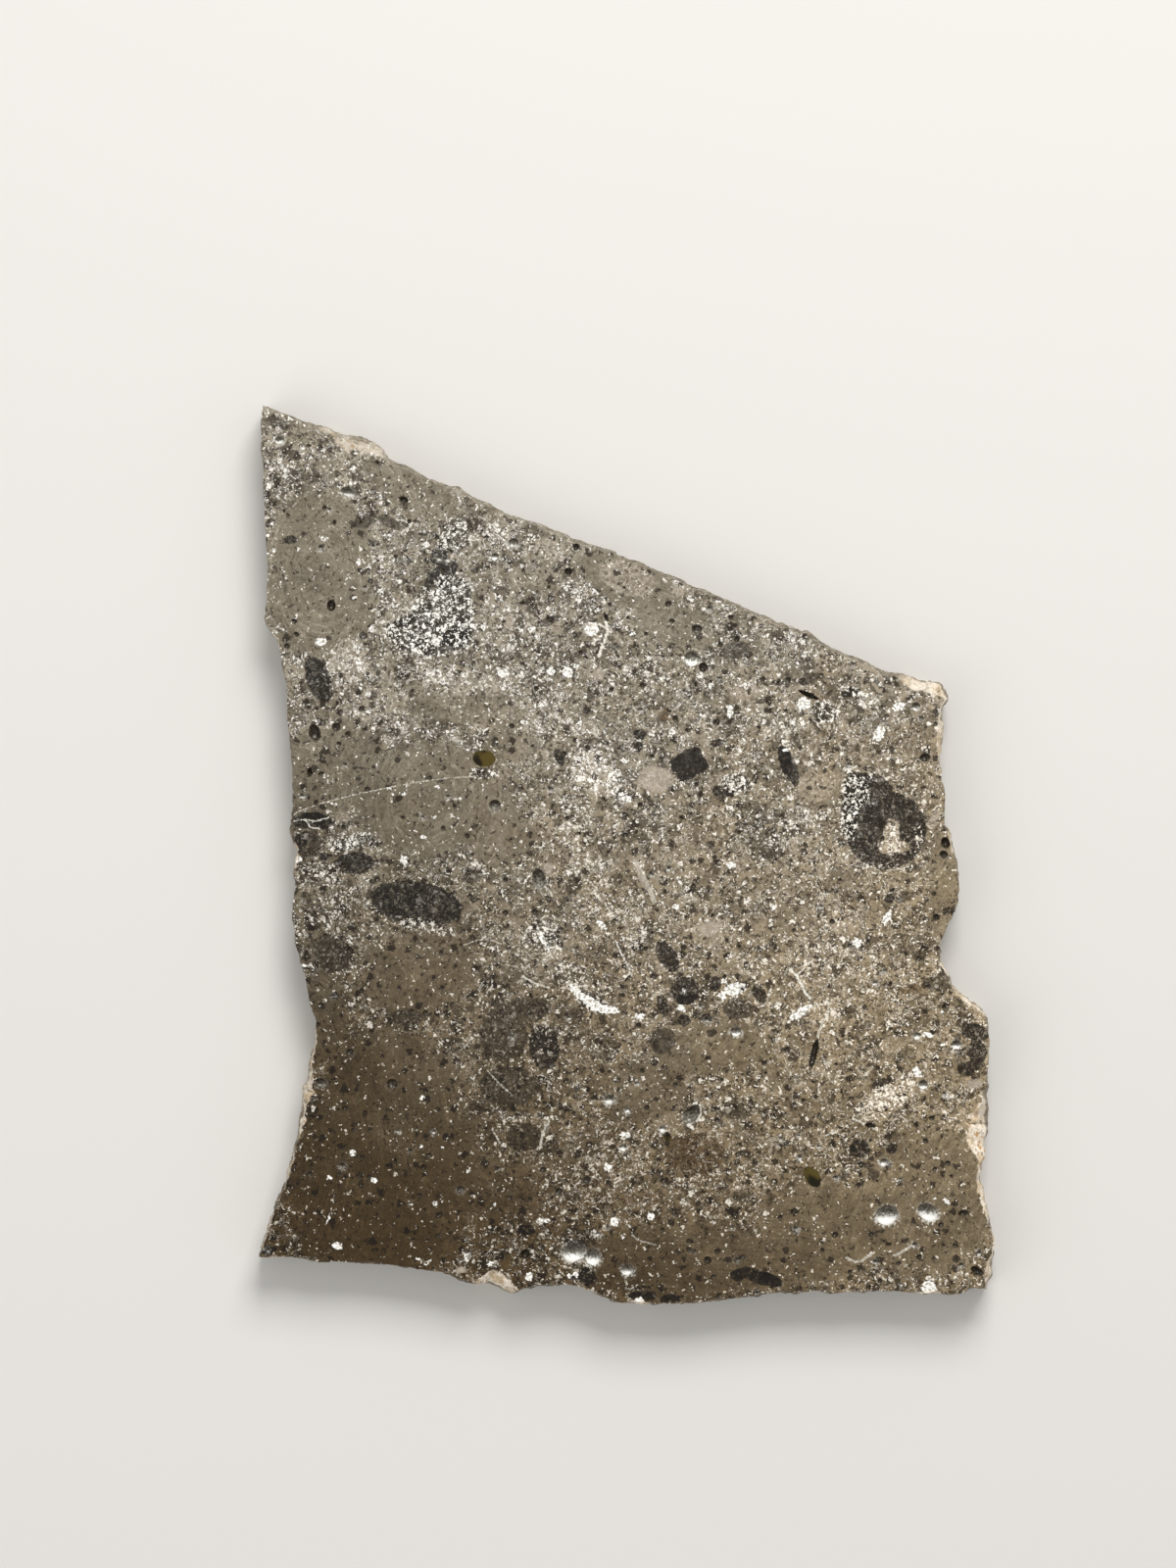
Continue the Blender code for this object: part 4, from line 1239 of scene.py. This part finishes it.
def rock_places(n):
    """Return the shared coordinates in mm, noises and zone marks of the rock."""
    at = SimpleNamespace()
    where = n.new("ShaderNodeTexCoord").outputs["Object"]
    at.place = n.vector("SCALE", where, 1 / MM)
    at.shaken = n.warp(at.place, 2.2, 0.7)
    at.crumpled = n.warp(at.place, 7.0, 0.34)
    at.edge = n.swing(at.place, 3.4, 4.0, 0.7)
    at.fine = n.swing(at.place, 9.0, 2.0, 0.6)
    at.cloud = n.swing(at.place, 0.5, 3.0, 0.6)
    at.grain = n.swing(at.shaken, 6.5, 5.0, 0.78)
    at.quiet = n.mark("quiet")
    at.broken = n.mark("broken")
    unrest = n.step(n.noise(at.place, 0.8, 2.0, 0.6), 0.36, 0.62, 0.55, 1.25)
    at.busy = n.mul(n.sub(1.0, at.quiet), unrest)
    return at


def inside(n, at, name, sharp=0.03, wobble=1.0):
    """Return a mask of the marked pieces of one kind, with a broken outline."""
    shift = n.add(n.mul(at.edge, 0.42 * wobble), n.mul(at.fine, 0.10))
    return n.step(n.add(n.mark(name), shift), -sharp, sharp)


def flow(n, at):
    """Return the streaks of the ground mass, curled round the swirls' middles."""
    x, y, _ = n.split(at.place)
    stream = n.new("ShaderNodeCombineXYZ")
    for socket, along, scale in zip(stream.inputs, (n.mark("swirl"), x, y), FLOW_SCALES):
        n.feed(socket, n.mul(along, scale))
    broad = n.swing(stream.outputs[0], 1.0, 3.0, 0.65)
    hatch = n.swing(stream.outputs[0], 2.6, 1.0, 0.5)
    return n.add(broad, n.mul(hatch, n.step(at.cloud, -0.12, 0.12, 0.1, 0.6)))


def ground_mass(n, at):
    """Return the mottled ground mass, streaked by flow where it is quiet."""
    swing = n.mul(at.grain, n.step(at.busy, 0.0, 1.0, 1.5, 3.1))
    swing = n.add(swing, n.mul(at.cloud, 0.6))
    swing = n.add(swing, n.mul(flow(n, at), n.step(at.quiet, 0.0, 1.0, 0.35, 1.1)))
    rock = n.look(n.step(swing, -0.62, 0.0), "mass")
    rock = n.paint(rock, n.step(swing, 0.0, 0.72), "pale mass")
    hairs = n.mul(threads(n, at.shaken, HAIRS), n.step(at.busy, 0.0, 1.0, 0.25, 0.5))
    return n.paint(rock, hairs, "hair")


def fragments(n, at, rock):
    """Scatter broken pieces of several sizes through the rock, thinly rimmed."""
    rock = n.paint(rock, n.mul(threads(n, at.crumpled, PALE_NET), at.busy), "net")
    seams = n.mul(threads(n, at.shaken, DARK_SEAMS), n.step(at.busy, 0.0, 1.0, 0.15, 0.6))
    rock = n.paint(rock, seams, "seam")
    for scale, share, calm, lively in FRAGMENTS:
        distance, rolls = n.cells(at.shaken, scale)
        gap = n.add(distance, n.mul(at.fine, 0.08 * scale))
        chosen = n.math("LESS_THAN", rolls[0], share)
        strength = n.step(at.busy, 0.0, 1.0, calm, lively)
        piece = n.mul(n.step(gap, 0.53, 0.49), chosen, strength)
        rock = n.lay(rock, piece, n.step(rolls[1], 0.3, 0.8), "fragment")
        if scale < FINEST:
            rim = n.mul(n.step(gap, 0.48, 0.52), n.step(gap, 0.58, 0.54), chosen)
            rim = n.mul(rim, n.step(at.fine, -0.02, 0.08), at.busy)
            rock = n.lay(rock, rim, rolls[2], "edge")
    return rock


def placed_clasts(n, at, rock):
    """Lay in the rock pieces that stand out, each kind with its own inside."""
    inner = n.step(n.noise(at.crumpled, 6.0, 3.0, 0.75), 0.34, 0.68)
    speckle = n.noise(at.crumpled, 11.0, 2.0, 0.8)
    flecks = n.step(n.add(n.mul(speckle, 0.6), n.mul(inner, 0.20)), 0.33, 0.64)
    flecks = n.math("POWER", flecks, 1.6)
    insides = {
        "pale": inner, "dusky": inner, "brown": n.step(speckle, 0.40, 0.66),
        "black": flecks, "jet": n.mul(flecks, 0.6),
    }
    masks = {kind: inside(n, at, kind, soft, ragged) for kind, soft, ragged in PLACED}
    at.pale = masks["pale"]
    masks["black"] = n.mul(masks["black"], n.sub(1.0, at.pale))
    for kind, mask in masks.items():
        rock = n.lay(rock, mask, insides[kind], kind)
    return rock


def dark_grains(n, at, rock):
    """Sprinkle dark grains over the rock, fewer where it is quiet."""
    dark = specks(n, at.crumpled, DARK_GRAINS, n.step(at.quiet, 0.0, 1.0, 0.46, 0.22))
    pepper = specks(n, at.shaken, PEPPER, n.step(at.quiet, 0.0, 1.0, 0.48, 0.22))
    return n.paint(n.paint(rock, dark, "dark grain"), pepper, "pepper")


def white_grains(n, at):
    """Return a mask of the white grains and wisps, which the dark pieces keep off."""
    many = n.step(at.busy, 0.0, 1.1, 0.045, 0.185)
    big = specks(n, at.crumpled, BIG_WHITES, n.mul(many, at.busy, 0.9))
    small = specks(n, at.crumpled, SMALL_WHITES, many)
    dust = specks(n, at.shaken, WHITE_DUST, n.mul(many, 1.3))
    wisps = n.most(threads(n, at.shaken, LONG_WISPS), threads(n, at.crumpled, SHORT_WISPS))
    wisps = n.mul(wisps, n.step(at.busy, 0.05, 0.9, 0.1, 0.85))
    covers = [n.mul(inside(n, at, kind, sharp), share) for kind, sharp, share in COVERS]
    return n.mul(n.most(big, small, dust, wisps), n.sub(1.0, n.most(*covers)))


def grains(n, at, rock):
    """Sprinkle the rock with grains and froth, with painted shade between the froth's grains; return
    it and a mask of the whites.
    """
    shine = n.step(n.noise(at.place, 9.0, 2.0), 0.34, 0.54)
    whites = white_grains(n, at)
    rock = n.lay(dark_grains(n, at, rock), whites, shine, "grain")
    froth = n.mark("froth")
    froth = n.add(froth, n.mul(at.edge, n.step(froth, 0.0, 0.3, 0.0, 0.7)))
    lumps = specks(n, at.crumpled, FROTH_LUMPS, n.mul(froth, 0.62))
    crumbs = specks(n, at.crumpled, FROTH_CRUMBS, n.mul(froth, 0.72))
    # Painted shade darkens each froth patch between its white grains.
    froth_shade = n.mul(n.step(froth, 0.45, 0.95, 0.0, 0.85), n.sub(1.0, at.pale))
    rock = n.paint(rock, froth_shade, "froth shadow")
    frothy = n.mul(n.most(lumps, crumbs), n.step(froth, 0.1, 0.8, 0.6, 1.0))
    return n.lay(rock, frothy, shine, "froth"), n.most(whites, frothy)


def rise(n, at, slopes):
    """Return a height that rises by its slopes across the sheet and up it."""
    x, y, _ = n.split(at.place)
    return n.add(n.mul(x, slopes[0]), n.mul(y, slopes[1]))


def paint_sheen(n, at, rock, whites):
    """Paint a sheen on the rock: darken it towards the low left as painted shade, lighten it towards
    the top right, and cool it towards the top.
    """
    # Painted sheen: the colour is lighter towards the top right and darker, as painted shade, towards
    # the low left.
    light = n.add(rise(n, at, SHEEN_RISE), n.mul(at.cloud, SHEEN_CLOUD))
    sheen = n.mix(n.step(light, *SHEEN_RANGE), SHEEN_LOW, SHEEN_HIGH)
    sway = n.mul(n.swing(at.place, 0.35, 2.0, 0.6), TINT_SWAY)
    coolness = n.add(rise(n, at, TINT_RISE), sway)
    tint = n.mix(n.step(coolness, *TINT_RANGE), TINT_WARM, TINT_COOL)
    changed = n.mix(1.0, n.mix(1.0, rock, sheen, "MULTIPLY"), tint, "MULTIPLY")
    return n.mix(n.mul(whites, WHITE_KEEPS), changed, rock)


def placed_whites(n, at, rock):
    """Add the white and cream pieces and the cracks that are placed one by one."""
    ragged = n.add(n.mul(at.edge, 0.16), n.mul(at.fine, 0.30))
    chunk = n.step(n.add(n.mark("white"), n.mul(ragged, 0.85)), -0.015, 0.025)
    rock = n.lay(rock, chunk, n.step(at.fine, -0.12, 0.06), "white")
    crack = n.step(n.add(n.mark("vein"), n.mul(at.fine, 0.16)), -0.012, 0.02)
    crack = n.mul(crack, n.mark("vein_force"), n.step(at.grain, -0.12, 0.02, 0.25, 1.0))
    rock = n.paint(rock, crack, "crack")
    cream = n.step(n.add(n.mark("cream"), n.mul(ragged, 0.7)), -0.015, 0.02)
    return n.lay(rock, cream, n.step(at.grain, -0.12, 0.1), "cream")


def glass_beads(n, at, rock):
    """Add the glass beads; return the rock and a mask of the beads."""
    bead = n.step(n.add(n.mark("bead"), n.mul(at.edge, 0.12)), -0.015, 0.02)
    depth = n.step(n.noise(at.place, 1.9, 1.0), 0.36, 0.64)
    return n.lay(rock, bead, depth, "bead"), bead


def crust(n, at, rock):
    """Cover broken walls and rims with duller rock, with a pale look where the rim is listed as pale.
    """
    mottle = n.step(n.noise(at.crumpled, 3.0, 4.0, 0.7), 0.3, 0.7)
    rock = n.lay(rock, n.step(at.broken, 0.3, 0.8), mottle, "wall")
    pale_rim = n.mul(n.mark("pale_rim"), n.step(at.edge, -0.16, 0.02, 0.7, 1.0))
    pale_rim = n.mul(pale_rim, n.step(at.broken, 0.2, 0.5), LOOKS["pale_rim"][-1])
    patches = n.step(n.noise(at.crumpled, 0.9, 3.0, 0.7), 0.46, 0.56, 0.12, 0.75)
    pale_rim = n.mul(pale_rim, n.mix(n.step(at.broken, 0.7, 0.95), FULL, patches))
    warmth = n.noise(at.place, 1.7, 3.0, 0.6)
    look = n.look(n.step(warmth, 0.36, 0.56), "pale_rim")
    look = n.paint(look, n.step(warmth, 0.60, 0.68), "stain")
    look = n.paint(look, n.step(at.grain, -0.02, -0.14), "dirt")
    return n.mix(pale_rim, rock, look)


def pits(n, at, rock, hollow):
    """Paint light and shade in the pits: painted shade, a painted highlight on one side, and a
    painted highlight on the lip.
    """
    pit_highlight = n.add(n.mark("pit_highlight"), n.mul(at.fine, 1.1))
    pit_shading = n.look(n.step(pit_highlight, 0.0, 0.4), "pit_shading")
    pit_shading = n.paint(pit_shading, n.step(pit_highlight, 0.4, 0.78), "pit_highlight")
    lip_highlight = n.mul(n.mark("lip_highlight"), n.step(at.fine, -0.06, 0.08))
    return n.paint(n.mix(hollow, rock, pit_shading), lip_highlight, "lip_highlight")


def polish(n, at, shader, glassy):
    """Give a lightly polished face, dull broken walls, and glassy pits and beads."""
    rough = n.add(n.mul(at.grain, ROUGH_GRAIN), n.mul(at.broken, ROUGH_WALL))
    rough = n.sub(n.add(rough, ROUGH_FACE), n.mul(glassy, ROUGH_GLASS))
    n.feed(shader.inputs["Roughness"], n.most(rough, ROUGH_LEAST))
    shader.inputs["Specular IOR Level"].default_value = SPECULAR
    bump = n.new("ShaderNodeBump")
    bump.inputs["Distance"].default_value = BUMP_DEPTH
    n.feed(bump.inputs["Strength"], n.add(n.mul(at.broken, BUMP_WALL), BUMP_FACE))
    n.feed(bump.inputs["Height"], n.noise(at.place, 7.0, 3.0, 0.7))
    n.feed(shader.inputs["Normal"], bump.outputs[0])


def breccia():
    """Make the rock: ground mass, broken pieces, grains, beads, cracks, pits and crust."""
    material = bpy.data.materials.new("breccia_slice")
    material.use_nodes = True
    n = Nodes(material)
    shader = material.node_tree.nodes["Principled BSDF"]
    at = rock_places(n)
    rock = placed_clasts(n, at, fragments(n, at, ground_mass(n, at)))
    rock, whites = grains(n, at, rock)
    rock = paint_sheen(n, at, rock, whites)
    rock, bead = glass_beads(n, at, placed_whites(n, at, rock))
    hollow = n.mark("hollow")
    rock = pits(n, at, crust(n, at, rock), hollow)
    n.feed(shader.inputs["Base Color"], rock)
    polish(n, at, shader, n.most(hollow, bead))
    return material


FLOOR_GAP = 0.01 * MM
FLOOR_HALF = 0.6
FLOOR_COLOUR = (0.71, 0.70, 0.68, 1.0)
FLOOR_ROUGHNESS = 0.85

# Camera: straight down on the face, framing what the sheet frames.
IMAGE_WIDTH = 1200
IMAGE_HEIGHT = 1600
LENS_MM = 135.0
SENSOR_MM = 36.0
CLIP_NEAR = 0.1
CLIP_FAR = 20

# Soft square lights: name, place, side, power in watts and colour.
LIGHTS = (
    ("key", (0.05, 0.20, 0.20), 0.14, 0.70, (1.0, 0.985, 0.96)),
    ("fill", (-0.22, -0.12, 0.22), 0.25, 0.22, (1.0, 0.99, 0.97)),
)
STUDIO_COLOUR = (1.0, 0.99, 0.965, 1.0)
STUDIO_STRENGTH = 0.5


def link(thing):
    """Put an object in the scene."""
    bpy.context.scene.collection.objects.link(thing)


def floor():
    """Lay the plain pale floor that the slice rests on."""
    half, low = FLOOR_HALF, -FLOOR_GAP
    mesh = bpy.data.meshes.new("floor")
    corners = [(-half, -half, low), (half, -half, low), (half, half, low), (-half, half, low)]
    mesh.from_pydata(corners, [], [(0, 1, 2, 3)])
    material = bpy.data.materials.new("floor")
    material.use_nodes = True
    shader = material.node_tree.nodes["Principled BSDF"]
    shader.inputs["Base Color"].default_value = FLOOR_COLOUR
    shader.inputs["Roughness"].default_value = FLOOR_ROUGHNESS
    mesh.materials.append(material)
    slab = bpy.data.objects.new("floor", mesh)
    link(slab)


def camera():
    """Set the camera straight above the face, with the whole sheet in its view."""
    data = bpy.data.cameras.new("camera")
    data.lens = LENS_MM
    data.sensor_width = SENSOR_MM
    data.sensor_fit = "AUTO"
    distance = IMAGE_HEIGHT * STEP * LENS_MM / SENSOR_MM
    data.clip_start = distance * CLIP_NEAR
    data.clip_end = distance * CLIP_FAR
    middle = from_sheet((IMAGE_WIDTH / 2, IMAGE_HEIGHT / 2))
    eye = bpy.data.objects.new("camera", data)
    eye.location = (middle[0], middle[1], THICKNESS + distance)
    link(eye)
    bpy.context.scene.camera = eye


def area_light(name, place, size, watts, colour):
    """Hang a soft square light that faces the slice."""
    data = bpy.data.lights.new(name, "AREA")
    data.shape = "SQUARE"
    data.size = size
    data.energy = watts
    data.color = colour
    lamp = bpy.data.objects.new(name, data)
    lamp.location = place
    lamp.rotation_mode = "QUATERNION"
    lamp.rotation_quaternion = Vector(place).to_track_quat("Z", "Y")
    link(lamp)


def lighting():
    """Light the slice softly, mostly from beyond its pointed corner."""
    for light in LIGHTS:
        area_light(*light)
    world = bpy.data.worlds.new("studio")
    world.use_nodes = True
    background = world.node_tree.nodes["Background"]
    background.inputs["Color"].default_value = STUDIO_COLOUR
    background.inputs["Strength"].default_value = STUDIO_STRENGTH
    bpy.context.scene.world = world
    bpy.context.scene.view_settings.view_transform = "Standard"


def main():
    """Build the visible slice and its setting."""
    piece = build_slice()
    piece.data.materials.append(breccia())
    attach(piece, "root")
    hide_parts(NODE)
    floor()
    camera()
    lighting()


main()
